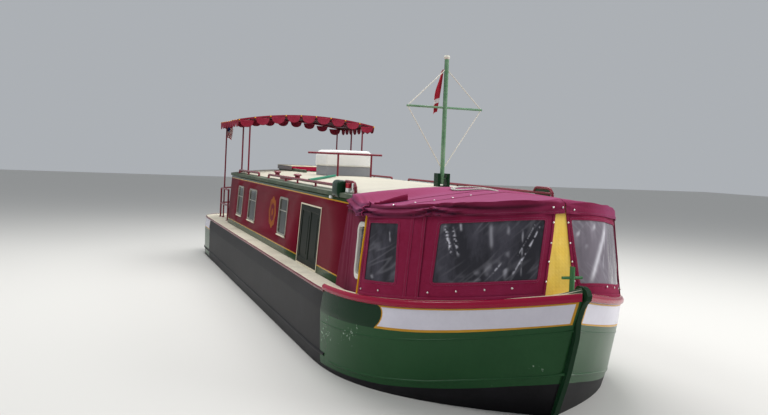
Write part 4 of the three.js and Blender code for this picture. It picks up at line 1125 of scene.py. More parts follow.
# Yellow piping on the open edge of the side panel, the doubled edges of the overlapping panels, and their snaps
def makePanelEdges(side, sign):
    yellow, edge, overlap = bowCanvas["yellow"][side], bowCanvas["sideEdge"], bowCanvas["overlap"]
    doubled = flatStrip(*bowCanvas["doubled"])

    def yellowEdge(v):
        return yellow[0] + (yellow[1] - yellow[0]) * v + sign * 0.03, v

    def upright(q, low=0.006, high=0.976):
        return wallLine((sign * q, low), (sign * q, high))

    bm = bmesh.new()
    radius = bowCanvas["piping"] / 2
    sewOn(bm, upright(edge + 0.01, 0.004, 0.934), 0.010, [(c * radius, s * radius) for c, s in circle(10)])
    fit(closeMesh("panel_piping_" + side, bm, "webbing"), "yellow_canvas")
    bm = bmesh.new()
    for q in (overlap + 0.03, overlap + 0.42, edge - 0.05):
        sewOn(bm, upright(q), 0.008, doubled)
        for shift in (-0.04, 0.04):
            stitchLines.append(onWall(upright(q + shift), 0.0108))
    for q0, q1 in ((yellow[0] + sign * 0.05, sign * overlap), (sign * (overlap + 0.05), sign * (edge - 0.05))):
        sewOn(bm, wallLine((q0, 0.018), (q1, 0.018), 60), 0.009, doubled)
        stitchLines.append(onWall(wallLine((q0, 0.034), (q1, 0.034), 60), 0.0105))
    sewOn(bm, wallLine(yellowEdge(0.006), yellowEdge(0.936)), 0.003, flatStrip(*bowCanvas["yellowEdge"]))
    fit(closeMesh("panel_edges_" + side, bm, "canvas"), "maroon_canvas")
    places = [(sign * q, v, 0.013) for q, v in bowCanvas["snaps"]]
    for q, v, lift in places + [(*yellowEdge(v), 0.007) for v in bowCanvas["yellowSnaps"]]:
        snaps.append((canvasWall(q, v, lift), canvasWall(q, v, 1) - canvasWall(q, v)))


for side, way in sides.items():
    sign = -way
    edge, overlap = bowCanvas["sideEdge"], bowCanvas["overlap"]
    yellow = [sign * q for q in bowCanvas["yellow"][side]]
    makeCanvasPanel("front", side, sign, yellow, overlap + 0.1)
    makeCanvasPanel("middle", side, sign, (overlap, overlap), edge)
    makeCanvasPanel("aft", side, sign, (edge - 0.2, edge - 0.2), bowCanvas["back"])
    makePanelEdges(side, sign)
nosePanel, area = wallPanel("canvas_nose", (-0.55, -0.14), (1.10, 0.50), "yellowCanvas", (2, 12, 2), lift=-0.002)
fit(nosePanel, "yellow_canvas", "canvas_front")
print("bow canvas walls made")


cabinRoof = {"eave": 2.3353, "camber": 0.095, "half": 1.251, "power": 2.2}


def roofHeight(y):
    return cabinRoof["eave"] + cabinRoof["camber"] * (1 - (abs(y) / cabinRoof["half"]) ** cabinRoof["power"])


# The canvas top is two sections; each hangs in swags between the places where it is gathered.
# q runs round the eave and t from the middle line (0) to the edge (1); past 1 it is the hem, down to 1.2.
canvasTop = {
    "lift": 0.010, "gathers": [0.0, 5.15, 7.6, 9.4], "swag": 0.055, "fold": 0.0290, "foldPitch": 0.060,
    "start": 0.03, "split": 7.56, "lap": 0.06, "back": 9.42, "flare": 0.05,
    "seam": 6.55, "seamTape": (0.055, 0.0024), "seamSnaps": [0.985, 0.815, 0.65, 0.485, 0.32],
    "noseSnaps": [(0.55, 1.08), (0.14, 1.08), (-0.45, 1.12)],
    "turnedUp": {"from": 0.69, "to": 1.16, "steps": 33, "high": 0.052, "profile": [
        (0.004, 0.0), (0.012, 0.3), (0.018, 0.75), (0.012, 1.0), (0.004, 0.98), (-0.004, 0.7), (-0.008, 0.2)]},
}


# How far a fold stands out, how far the swag is from its gathers, and how much painted shade the fold and the hem get
def swagAt(q, down):
    marks = canvasTop["gathers"]
    k = max(i for i in range(len(marks) - 1) if marks[i] <= abs(q) or i == 0)
    u = min(1.0, max(0.0, (abs(q) - marks[k]) / (marks[k + 1] - marks[k])))
    belly = 4 * u * (1 - u)
    sag = canvasTop["swag"] * belly * (marks[k + 1] - marks[k]) / 4.9
    turn = 2 * math.pi * (down - sag) / (canvasTop["foldPitch"] * (0.7 + 0.5 * belly))
    # the cloth is taut and smooth round the nose and to port, and gets less painted shade there
    calm = 0.15 + 0.85 * smooth((q - 0.3) / 1.8)
    deep = calm * (1.2 - 0.6 * belly) * math.exp(-((down - 0.03) / 0.10) ** 2)
    # painted shade: below the ridge of each fold, and over the hem
    shade = deep * max(0.0, -math.sin(turn + 0.8)) + 0.3 * calm * smooth((down + 0.03) / 0.05)
    return math.sin(turn) * canvasTop["fold"] * deep, belly, shade


# How far a place lies below the eave, measured over the cloth
def dropAt(q, t):
    return (t - 1) * bowCanvas["hem"] / 0.2 if t > 1 else (t - 1) * max(0.25, abs(canvasEdge(q, True).y))


# A place on the canvas top with its folds; flare lifts the hem away from the wall
def topPlace(q, t, lift=0.0, flare=0.0):
    edge = canvasEdge(q, True)
    aft = midships - edge.x
    z = edge.z + 0.004
    crown = max(z + 0.012, bowCanvas["crown"])
    inner = min(1.0, t)
    place = at(aft + (1 - inner) * 0.06, edge.y * inner, z + (crown - z) * (1 - inner ** 1.15))
    overRoof = smooth((aft - 1.95) / 0.33)
    tight = 1 - overRoof
    # over the cabin front it lies on the cambered roof and turns down round its corner
    lying = roofHeight(place.y) + 0.005 + 0.011 * max(0.0, 1 - (abs(place.y) / 0.8) ** 2)
    lying -= 0.042 * smooth((abs(place.y) - 1.228) / 0.034)
    place.z += (lying - place.z) * overRoof
    wrinkle = noise.noise(Vector((q * 1.1, t * 3.0, 9.0)))
    forward, sideways = math.exp(-(q / 1.2) ** 2), 1 - math.exp(-(q / 0.5) ** 2)
    outward = Vector((forward, math.copysign(sideways, edge.y), 0)).normalized()
    down = dropAt(q, t)
    ripple, belly, _ = swagAt(q, down)
    if t > 1:
        hang = 0.020 + 0.006 * wrinkle + ripple + (0.016 * tight + flare) * (t - 1) / 0.2
        place += outward * (hang + lift)
        place.z += 0.004 * tight - down * (1 + 0.14 * belly)
    else:
        place.z += lift + (canvasTop["lift"] + 0.008 * wrinkle * inner + ripple) * tight
        place += outward * (0.020 + ripple * 0.5) * inner ** 10
    return place


# One section of the top, from hem to hem across the boat; its rows are closest where the folds are
def topSection(name, start, end, steps, lift=0.0, flare=0.0):
    inwards = [1.2, 1.15, 1.1, 1.07, 1.04, 1.02, 1.0] + [1 - 0.013 * k for k in range(1, 20)]
    inwards += [0.72, 0.68, 0.63, 0.57, 0.5, 0.42, 0.34, 0.26, 0.18, 0.1, 0.04]
    bm = bmesh.new()
    dark = bm.verts.layers.float.new("shade")
    grid = []
    for q in (start + (end - start) * i / steps for i in range(steps + 1)):
        spots = [(q, t) for t in inwards] + [(q, 0)] + [(-q, t) for t in reversed(inwards)]
        lifted = flare * math.exp(-((q - start) / 0.35) ** 2)
        grid.append([bm.verts.new(topPlace(*spot, lift, lifted if spot[0] > 0 else 0.0)) for spot in spots])
        # painted shade of the folds and the hem, kept in the attribute "shade"
        for vert, spot in zip(grid[-1], spots):
            vert[dark] = min(0.85, 0.9 * swagAt(spot[0], dropAt(*spot))[2])
    gridFaces(bm, grid)
    return sheetPiece(name, bm, "canvasTop", bowCanvas["thickness"], lambda place: place - at(1.6, 0, 1.8))


frontTop, area = topSection("canvas_roof_front", canvasTop["start"], canvasTop["split"] + canvasTop["lap"], 230)
fit(frontTop, "maroon_canvas", "canvas_top")
aftTop, area = topSection("canvas_roof_aft", canvasTop["split"], canvasTop["back"], 80, 0.004, canvasTop["flare"])
fit(aftTop, "maroon_canvas")


# Places over the canvas top and the directions that point out of it there
def onTop(points, lift):
    path, outwards = [], []
    for q, t in points:
        along = topPlace(q + 0.04, t) - topPlace(q - 0.04, t)
        across = topPlace(q, t + 0.02) - topPlace(q, t - 0.02)
        up = along.cross(across).normalized()
        if up.dot(topPlace(q, t) - at(1.6, 0, 1.8)) < 0:
            up = -up
        outwards.append(up)
        path.append(topPlace(q, t) + up * lift)
    return path, outwards


# The tape over the seam, its stitches and snaps, the stitched hem, and the turned-up edge of the aft section
def makeTopSeams(setting):
    seam = setting["seam"]
    line = wallLine((seam, 0.98), (seam, 0.02)) + wallLine((-seam, 0.02), (-seam, 0.98))
    bm = bmesh.new()
    tape(bm, *onTop(line, 0.001), flatStrip(*setting["seamTape"]))
    for shift in (-0.09, 0.09):
        stitchLines.append(onTop([(math.copysign(seam + shift, q), t) for q, t in line], 0.0045))
    studs = []
    for end in (1, -1):
        stitchLines.append(onTop(wallLine((end * 0.08, 1.165), (end * 7.48, 1.165), 180), 0.0022))
        studs += [(end * seam, t, 0.005) for t in setting["seamSnaps"]]
    for q, t, lift in studs + [(*spot, 0.004) for spot in setting["noseSnaps"]]:
        (place,), (up,) = onTop([(q, t)], lift)
        snaps.append((place, up))
    turnedUp, rings = setting["turnedUp"], []
    for i in range(turnedUp["steps"] + 1):
        t = turnedUp["from"] + (turnedUp["to"] - turnedUp["from"]) * i / turnedUp["steps"]
        (place,), (up,) = onTop([(setting["split"] - 0.02, t)], 0.004)
        high = turnedUp["high"] * (1 - 0.75 * smooth((t - turnedUp["from"]) / 0.3)) + 0.006
        rings.append([place + up * high * w + Vector((u, 0, 0)) for u, w in turnedUp["profile"]])
    skinRings(bm, rings)
    fit(closeMesh("canvas_roof_seams", bm, "canvasTop"), "maroon_canvas")


makeTopSeams(canvasTop)
print("bow canvas top made")


# Stern canopy: a crowned sheet on three hoops (aft, half width, foot), with rounded scallops hanging from its edges
canopy = {
    "front": 9.2, "back": 11.4, "half": 1.3, "edge": 3.34, "crown": 0.135, "rim": 0.03, "sag": 0.012,
    "hoops": [(9.25, 1.0833, roofHeight(1.0833)), (9.95, 1.0833, roofHeight(1.0833)), (11.33, 1.19, deckHeight)],
    "scallop": 0.125, "across": 9, "along": 8, "gap": 0.03, "hang": 0.012, "stud": 0.016,
    "pole": 0.03, "under": 0.026, "rail": 0.024, "flat": (2.66, 2.3),
    "foot": [(0.0, 0.0), (0.03, 0.0), (0.03, 0.012), (0.018, 0.016), (0.0, 0.018)],
}


def canopyHeight(y):
    return canopy["edge"] + canopy["crown"] * (1 - (abs(y) / canopy["half"]) ** 2)


def makeCanopy():
    def place(row, column):
        aft = canopy["front"] + (canopy["back"] - canopy["front"]) * row
        y = canopy["half"] * (2 * column - 1)
        held = max(math.exp(-((aft - hoop[0]) / 0.16) ** 2) for hoop in canopy["hoops"])
        sag = canopy["sag"] * (1 - held) * (1 + 0.4 * noise.noise(Vector((aft * 2, y * 2, 1))))
        return at(aft, y, canopyHeight(y) - sag)

    bm = bmesh.new()
    gridFaces(bm, gridPoints(bm, 40, 52, place))
    rim = bmesh.ops.extrude_edge_only(bm, edges=[e for e in bm.edges if e.is_boundary])
    for vert in [g for g in rim["geom"] if isinstance(g, bmesh.types.BMVert)]:
        vert.co.z -= canopy["rim"]
    return sheetPiece("canopy_sheet", bm, "canopyCanvas", 0.003, lambda place: place - at(10.3, 0, 2.9), "canopyShade")


# One flap, a unit wide and deep, that curls outwards at its foot; the tree scales it
def makeScallop():
    def place(row, column):
        u = 2 * column - 1
        curl = 0.05 * row * row + 0.03 * math.sin(2.2 * u + 1) * row
        return Vector((u * 0.5, curl, -row * math.sqrt(max(0.0, 1 - abs(u) ** 2.3))))

    bm = bmesh.new()
    gridFaces(bm, gridPoints(bm, 8, 10, place))
    bmesh.ops.remove_doubles(bm, verts=bm.verts, dist=1e-5)
    return bpy.data.objects.new("scallop", meshFrom("scallop", bm))


# Begins a Geometry Nodes tree with named inputs, for points that carry the way they face
def startTree(name, sockets):
    tree = bpy.data.node_groups.new(name, "GeometryNodeTree")
    for label, kind, value in [("Geometry", "Geometry", None), *sockets, ("Finish", "Material", None)]:
        socket = tree.interface.new_socket(label, in_out="INPUT", socket_type="NodeSocket" + kind)
        if value is not None:
            socket.default_value = value
    facing = addNode(tree, "GeometryNodeInputNamedAttribute", {"Name": "facing"}, data_type="FLOAT_VECTOR")
    return tree, addNode(tree, "NodeGroupInput").outputs, facing.outputs["Attribute"]


# Ends it: a shape on each point, turned and scaled, made real, smooth and painted
def endTree(tree, inputs, points, shape, turn, size):
    placed = addNode(tree, "GeometryNodeInstanceOnPoints", {
        "Points": points.outputs[0], "Instance": shape, "Rotation": turn.outputs[0], "Scale": size.outputs[0]})
    smoothed = addNode(tree, "GeometryNodeSetShadeSmooth", {0: placed.outputs[0]})
    real = addNode(tree, "GeometryNodeRealizeInstances", {0: smoothed.outputs[0]})
    painted = addNode(tree, "GeometryNodeSetMaterial", {"Geometry": real.outputs[0], "Material": inputs["Finish"]})
    tree.interface.new_socket("Geometry", in_out="OUTPUT", socket_type="NodeSocketGeometry")
    addNode(tree, "NodeGroupOutput", {0: painted.outputs[0]})
    return tree


# Runs a tree on (place, facing) spots, or on lines through them, and leaves a plain mesh
def repeated(name, tree, spots, look, values, edges=()):
    mesh = bpy.data.meshes.new(name)
    mesh.from_pydata([tuple(place) for place, _ in spots], list(edges), [])
    layer = mesh.attributes.new("facing", "FLOAT_VECTOR", "POINT")
    layer.data.foreach_set("vector", [c for _, facing in spots for c in facing.normalized()])
    piece = newPiece(name, mesh)
    modifier = piece.modifiers.new("repeat", "NODES")
    modifier.node_group = tree
    for item in tree.interface.items_tree:
        if item.in_out == "INPUT" and item.name in {*values, "Finish"}:
            modifier[item.identifier] = finishes[look] if item.name == "Finish" else values[item.name]
    return baked(piece)


def makeStudTree():
    tree, inputs, facing = startTree("round studs on points", [("Radius", "Float", 0.007), ("Height", "Float", 0.004)])
    points = addNode(tree, "GeometryNodeMeshToPoints", {"Mesh": inputs["Geometry"]})
    turn = addNode(tree, "FunctionNodeAlignRotationToVector", {"Vector": facing}, axis="Z")
    ball = addNode(tree, "GeometryNodeMeshUVSphere", {"Segments": 10, "Rings": 6, "Radius": 1.0})
    size = addNode(tree, "ShaderNodeCombineXYZ", {0: inputs["Radius"], 1: inputs["Radius"], 2: inputs["Height"]})
    return endTree(tree, inputs, points, ball.outputs["Mesh"], turn, size)


# Thread that shows as a short bead every few millimetres along a seam
def makeStitchTree():
    tree, inputs, facing = startTree("stitches along seams", [
        ("Spacing", "Float", 0.014), ("Length", "Float", 0.009), ("Thickness", "Float", 0.0024)])
    seam = addNode(tree, "GeometryNodeMeshToCurve", {"Mesh": inputs["Geometry"]})
    points = addNode(tree, "GeometryNodeResampleCurve", {"Curve": seam.outputs[0], "Length": inputs["Spacing"]},
                     mode="LENGTH")
    tangent = addNode(tree, "GeometryNodeInputTangent")
    turn = addNode(tree, "FunctionNodeAxesToRotation", {
        "Primary Axis": tangent.outputs[0], "Secondary Axis": facing}, primary_axis="X", secondary_axis="Z")
    bead = addNode(tree, "GeometryNodeMeshUVSphere", {"Segments": 6, "Rings": 4, "Radius": 0.5})
    size = addNode(tree, "ShaderNodeCombineXYZ", {0: inputs["Length"], 1: inputs["Thickness"], 2: inputs["Thickness"]})
    return endTree(tree, inputs, points, bead.outputs["Mesh"], turn, size)


def makeFlapTree():
    tree, inputs, facing = startTree("cloth flaps on points", [
        ("Flap", "Object", None), ("Width", "Float", 0.27), ("Depth", "Float", 0.125), ("Curl", "Float", 0.12),
        ("Seed", "Int", 4)])
    turn = addNode(tree, "FunctionNodeAlignRotationToVector", {"Vector": facing}, axis="Y", pivot_axis="Z")
    flap = addNode(tree, "GeometryNodeObjectInfo", {"Object": inputs["Flap"]})
    wobble = addNode(tree, "FunctionNodeRandomValue", {"Seed": inputs["Seed"], 2: 0.92, 3: 1.06}, data_type="FLOAT")
    deep = addNode(tree, "ShaderNodeMath", {0: inputs["Depth"], 1: wobble.outputs[1]}, operation="MULTIPLY")
    size = addNode(tree, "ShaderNodeCombineXYZ", {0: inputs["Width"], 1: inputs["Curl"], 2: deep.outputs[0]})
    points = addNode(tree, "GeometryNodeMeshToPoints", {"Mesh": inputs["Geometry"]})
    return endTree(tree, inputs, points, flap.outputs["Geometry"], turn, size)


# Where scallops hang round the rim and where studs pin them, each with the way it faces
def canopyRim():
    flapSpots, studSpots = [], []
    half, front, back = canopy["half"], canopy["front"], canopy["back"]
    pitch, step = 2 * half / canopy["across"], (back - front) / canopy["along"]
    hang = canopy["hang"] - canopy["rim"]
    forward, outwards = Vector((1, 0, 0)), Vector((0, 1, 0))
    for i in range(canopy["across"]):
        y = -half + pitch * (i + 0.5)
        z = min(canopyHeight(y - pitch / 2), canopyHeight(y + pitch / 2)) + hang
        flapSpots += [(at(front, y, z), forward), (at(back, y, z), -forward)]
    for y in (-half + pitch * i for i in range(canopy["across"] + 1)):
        z = canopyHeight(y) - canopy["stud"]
        studSpots += [(at(front - 0.003, y * 0.995, z), forward), (at(back + 0.003, y * 0.995, z), -forward)]
    for aft in (front + step * (i + 0.5) for i in range(canopy["along"])):
        for way in (-1, 1):
            flapSpots.append((at(aft, way * half, canopy["edge"] + hang), outwards * way))
            z = canopy["edge"] - canopy["stud"]
            studSpots.append((at(aft + step / 2, way * (half + 0.003), z), outwards * way))
    return flapSpots, studSpots


studTree = makeStudTree()
cover, area = makeCanopy()
flapSpots, studSpots = canopyRim()
flaps = repeated("canopy_scallops", makeFlapTree(), flapSpots, "canopyCanvas", {
    "Flap": makeScallop(), "Width": canopy["half"] * 2 / canopy["across"] - canopy["gap"], "Depth": canopy["scallop"],
    "Curl": 0.12, "Seed": 4})
thickened(flaps, 0.003, side=0)
fit(cover, "maroon_canvas", "canopy_cover")
fit(flaps, "maroon_canvas")
fit(repeated("canopy_studs", studTree, studSpots, "webbing", {"Radius": 0.013, "Height": 0.008}), "maroon_canvas")
print("canopy made")


# Real stitches are 4 mm apart and are drawn coarser so that they show
stitch = {"Spacing": 0.014, "Length": 0.009, "Thickness": 0.0022}
spots, edges = [], []
for path, outwards in stitchLines:
    edges += [(len(spots) + i, len(spots) + i + 1) for i in range(len(path) - 1)]
    spots += zip(path, outwards)
fit(repeated("canvas_stitches", makeStitchTree(), spots, "thread", stitch, edges), "maroon_canvas")
fit(repeated("canvas_snaps", studTree, snaps, "nickel", {"Radius": 0.0095, "Height": 0.006}), "maroon_canvas")
print("stitches and snaps made:", len(snaps))


# Round tube rails that replace the faceted ones; a hoop is (front, back, rise) and holds a board
railing = {
    "roofHalf": 1.170, "rise": 0.052, "diameter": 0.034, "sunk": 0.004,
    "roof": {"aft": {"ends": (7.75, 9.65), "posts": [8.70], "hoop": None},
             "fore": {"ends": (2.50, 6.95), "posts": [4.11, 5.05, 5.75], "hoop": (2.50, 2.91, 0.058)}},
    "foot": [(0.0, 0.0), (0.036, 0.0), (0.036, 0.004), (0.030, 0.008), (0.019, 0.010), (0.0, 0.010)],
    "guardDiameter": 0.036, "guardHeights": (0.60, 0.29), "guardEnd": 0.058,
    "guardBends": [(10.5, 1.23), (11.45, 1.23), (12.0, 0.82), (12.15, 0.42), (12.15, 0.04)],
    "guardFoot": [(0.0, 0.0), (0.04, 0.0), (0.04, 0.005), (0.03, 0.009), (0.0, 0.010)],
}


def makeHandrail(side, way, label, setting):
    y, diameter = way * railing["roofHalf"], railing["diameter"]
    foot, top = roofHeight(y) - railing["sunk"], roofHeight(y) + railing["rise"]
    start, end = setting["ends"]
    bm = bmesh.new()
    tube(bm, rounded([at(start, y, foot), at(start, y, top), at(end, y, top), at(end, y, foot)], 0.05), diameter, 14)
    for post in setting["posts"]:
        tube(bm, [at(post, y, top), at(post, y, foot)], diameter * 0.8, 12)
    for post in [start, end, *setting["posts"]]:
        turned(bm, railing["foot"], at(post, y, foot + 0.002))
    if setting["hoop"]:
        front, back, rise = setting["hoop"]
        high = top + rise
        tube(bm, rounded([at(back, y, top), at(back - 0.04, y, high), at(front + 0.06, y, high), at(front, y, top)],
                         0.07), diameter, 14)
        block(bm, at(back - 0.035, y - 0.006, foot + 0.024), at(front + 0.05, y + 0.006, high - 0.004), look=1)
    piece = closeMesh("handrail_tube_" + label + "_" + side, bm, "railMaroon", "panelGreen", crease=40)
    return fit(piece, "rail_paint", "handrail_" + label + "_" + side)


def makeGuardRail(side, way):
    foot = deckHeight - railing["sunk"]
    high, middle = (deckHeight + rise for rise in railing["guardHeights"])
    bends, diameter = railing["guardBends"], railing["guardDiameter"]
    bm = bmesh.new()
    for z in (high, middle):
        tube(bm, rounded([at(aft, way * y, z) for aft, y in bends], 0.12), diameter, 14)
    for aft, y in bends[:-1] + [(bends[-1][0], railing["guardEnd"])]:
        tube(bm, [at(aft, way * y, foot), at(aft, way * y, high)], diameter, 14)
        turned(bm, railing["guardFoot"], at(aft, way * y, foot + 0.003))
    return fit(closeMesh("guard_tube_" + side, bm, "railMaroon", crease=40), "rail_paint", "guard_rail_" + side)


def makeCanopyFrame():
    bm = bmesh.new()
    for aft, half, foot in canopy["hoops"]:
        arc = [at(aft, y, canopyHeight(y) - canopy["under"]) for y in (half * (-1 + i / 10) for i in range(21))]
        tube(bm, rounded([at(aft, -half, foot), *arc, at(aft, half, foot)], 0.03, 3), canopy["pole"], 12)
        for way in (-1, 1):
            turned(bm, canopy["foot"], at(aft, way * half, foot))
    front, half, _ = canopy["hoops"][0]
    for way in (-1, 1):
        ends = [at(aft, way * half, canopyHeight(half) - 0.03) for aft in (front, canopy["hoops"][-1][0])]
        tube(bm, ends, canopy["rail"], 12)
    return fit(closeMesh("canopy_poles", bm, "railMaroon", crease=40), "rail_paint", "canopy_frame")


for side, way in sides.items():
    for label, setting in railing["roof"].items():
        makeHandrail(side, way, label, setting)
for side, way in sides.items():
    makeGuardRail(side, way)
makeCanopyFrame()
fit(softened("rack_bar", "roof_rack", 0.002, "railMaroon"), "rail_paint", "roof_rack")
fit(softened("mast_tabernacle", "mast_foot", 0.004, "panelGreen"), "green_paint", "mast_foot")
fit(softened("roof_box_tray", "roof_box_base", 0.008, "boxGrey", segments=3), "grey_plastic", "roof_box_base")
fit(softened("roof_box_lid", "roof_box_cover", 0.035, "boxWhite", segments=4), "white_plastic", "roof_box_cover")


# the hatch's faces take colours by the way they face: cream on top, red at the front, and on the sides a dark brown
# that is partly painted shade
def hatchLook(face):
    if face.normal.z > 0.7:
        return 2
    return 0 if face.normal.x > 0.7 else 1


# Stays and truck are white and the pole above the yard is a darker green
mastPaint = {"stayFrom": 0.028, "yard": (3.30, 3.36), "tabernacle": 2.6, "truck": 3.88, "dark": 3.52}


def mastLook(face):
    spot = face.calc_center_median()
    low, high = mastPaint["yard"]
    stay = abs(spot.y) > mastPaint["stayFrom"] and not low < spot.z < high and spot.z > mastPaint["tabernacle"]
    if stay or spot.z > mastPaint["truck"]:
        return 2
    return 1 if spot.z > mastPaint["dark"] else 0


fit(softened("mast_pole", "mast", 0.0015, "mastGreen", "panelGreen", "stayWhite", lookOf=mastLook), "green_paint",
    "mast", body="mast")
fit(softened("hatch_slide", "sliding_hatch", 0.005, "railRed", "hatchBrown", "cream", lookOf=hatchLook), "cabin_paint",
    "sliding_hatch", body="sliding_hatch")


# Folded steel cover over the hatch: light top, brown sides that are partly painted shade, and a red front lip notched
# over the runners
hatchCover = {"from": 8.95, "to": 10.17, "half": 0.33, "low": 2.446, "high": 2.520, "wall": 0.012, "lap": 0.016,
              "runnerInner": 0.285, "runnerTop": 2.479}


def makeHatchCover(setting):
    x0, x1 = midships - setting["to"], midships - setting["from"]
    half, wall, lap, inner = setting["half"], setting["wall"], setting["lap"], setting["runnerInner"]
    low, high, notch = setting["low"], setting["high"], setting["runnerTop"]
    bm = bmesh.new()
    block(bm, (x1, -inner, low), (x1 + wall, inner, notch))
    block(bm, (x1, -half - wall, notch), (x1 + wall, half + wall, high - 0.002))
    for way in (-1, 1):
        near, far = sorted((way * (half + 0.001), way * (half + wall)))
        block(bm, (x0, near, low), (x1, far, high - 0.004), look=1)
    block(bm, (x0, -half - lap, high - 0.004), (x1 + lap, half + lap, high + 0.012), look=2)
    piece = closeMesh("hatch_cover", bm, "railRed", "hatchBrown", "cream", weld=1e-7)
    return fit(bevelled(piece, 0.003, 2), "cabin_paint", body="sliding_hatch")


makeHatchCover(hatchCover)
fit(softened("engine_lid", "engine_hatch", 0.006, "board"), "deck_board", "engine_hatch", body="engine_hatch")
fit(softened("tiller_and_rudder", "rudder", 0.004, "steel"), "rudder_steel", "rudder", body="rudder")
print("rails, mast and roof fittings made")

# Navigation lamp inside the hoop of the starboard handrail with its housing behind, vents, a plank and a pole
roofGear = {
    "housing": {"aft": (2.80, 3.07), "y": (-1.272, -1.150), "z": (2.274, 2.470), "round": 0.050},
    "lens": {"aft": (2.630, 2.725), "y": (-1.212, -1.176), "z": (2.345, 2.448)},
    "strip": {"aft": (2.535, 2.575), "y": (-1.192, -1.176), "z": (2.362, 2.450)},
    "cleat": {"aft": (3.02, 3.09), "y": (-1.288, -1.266), "z": (2.262, 2.290)},
    "vents": [(7.30, -0.96), (5.85, -0.98), (8.40, 0.80)],
    "vent": [(0.0, 0.0), (0.060, 0.0), (0.060, 0.006), (0.038, 0.010), (0.036, 0.050), (0.052, 0.054), (0.060, 0.060),
             (0.060, 0.066), (0.045, 0.078), (0.020, 0.085), (0.0, 0.086)],
    "plank": {"aft": (5.80, 6.35), "y": (-1.125, -1.02), "foot": 0.004, "thick": 0.030},
    "pole": {"from": (5.00, -1.03), "to": (5.75, -0.45), "diameter": 0.035},
}


def gearBlock(bm, part, look=0, z=None):
    low, high = z or part["z"]
    block(bm, (midships - part["aft"][1], part["y"][0], low), (midships - part["aft"][0], part["y"][1], high), look)


def makeLamp(gear):
    shell = bmesh.new()
    gearBlock(shell, gear["housing"])
    housing = closeMesh("lamp_housing", shell, "panelGreen")
    fit(bevelled(housing, gear["housing"]["round"], 6, crease=50), "green_paint")
    bm = bmesh.new()
    gearBlock(bm, gear["cleat"], 1)
    gearBlock(bm, gear["strip"], 1)
    low, high = gear["lens"]["z"]
    middle = (low + high) / 2 - 0.004
    gearBlock(bm, gear["lens"], 1, (low, middle))
    gearBlock(bm, gear["lens"], 2, (middle, high))
    piece = closeMesh("navigation_lamp", bm, "panelGreen", "boxWhite", "lampRed", weld=1e-6)
    return fit(bevelled(piece, 0.006, 3), "green_paint")


def makeVents(gear):
    bm = bmesh.new()
    for aft, y in gear["vents"]:
        turned(bm, gear["vent"], at(aft, y, roofHeight(y) - 0.004), count=24)
    return fit(closeMesh("roof_vents", bm, "railMaroon", crease=40), "rail_paint")


def makeRoofPlank(gear):
    plank, pole = gear["plank"], gear["pole"]
    (y0, y1), foot, top = plank["y"], plank["foot"], plank["thick"]
    section = ((y0, foot), (y1, foot), (y1, top), (y1 - 0.004, top + 0.004), (y0 + 0.004, top + 0.004), (y0, top))
    bm = bmesh.new()
    skinRings(bm, [[at(aft, y, roofHeight(y) + lift) for y, lift in section] for aft in plank["aft"]])
    lift = pole["diameter"] / 2 + 0.009
    ends = [at(*pole[end], roofHeight(pole[end][1]) + lift) for end in ("from", "to")]
    tube(bm, ends, pole["diameter"], 14, look=1)
    return fit(closeMesh("roof_plank_and_pole", bm, "railRed", "poleGreen", crease=40), "rail_paint")


makeLamp(roofGear)
makeVents(roofGear)
makeRoofPlank(roofGear)

# Painted roundel between the middle and fore windows: a scalloped ochre ring round a small centre, in thick paint
roundel = {"starboard": 6.15, "port": 5.55, "z": 1.875, "width": 0.46, "height": 0.44, "petals": 8, "petal": 0.06,
           "rings": ((1.0, 0), (0.60, 1), (0.24, 0)), "points": 64, "lift": 0.0016, "step": 0.0006, "paint": 0.0010}


def makeRoundel(setting, side, way):
    bm = bmesh.new()
    for size, look in setting["rings"]:
        rim = []
        for a in (2 * math.pi * k / setting["points"] for k in range(setting["points"])):
            reach = size * (1 + setting["petal"] * math.cos(setting["petals"] * a)) / 2
            rim.append((setting[side] + math.cos(a) * reach * setting["width"],
                        setting["z"] + math.sin(a) * reach * setting["height"]))
        lift = setting["lift"] + setting["step"] * (1 - size)
        skinRings(bm, [[wallPoint(aft, z, way, out) for aft, z in rim] for out in (lift - setting["paint"], lift)],
                  look=look)
    return fit(closeMesh("painted_roundel_" + side, bm, "ochre", "cabinMaroon", crease=40), "cabin_paint")


for side, way in sides.items():
    makeRoundel(roundel, side, way)

# Rope left in a flat oval coil on the canvas top
coil = {"centre": (2.102, -0.01), "half": (0.20, 0.27), "turns": 3, "perTurn": 30, "diameter": 0.012, "pitch": 0.0165,
        "round": 10, "strands": 3, "ribsPerMetre": 60, "gap": 0.002}


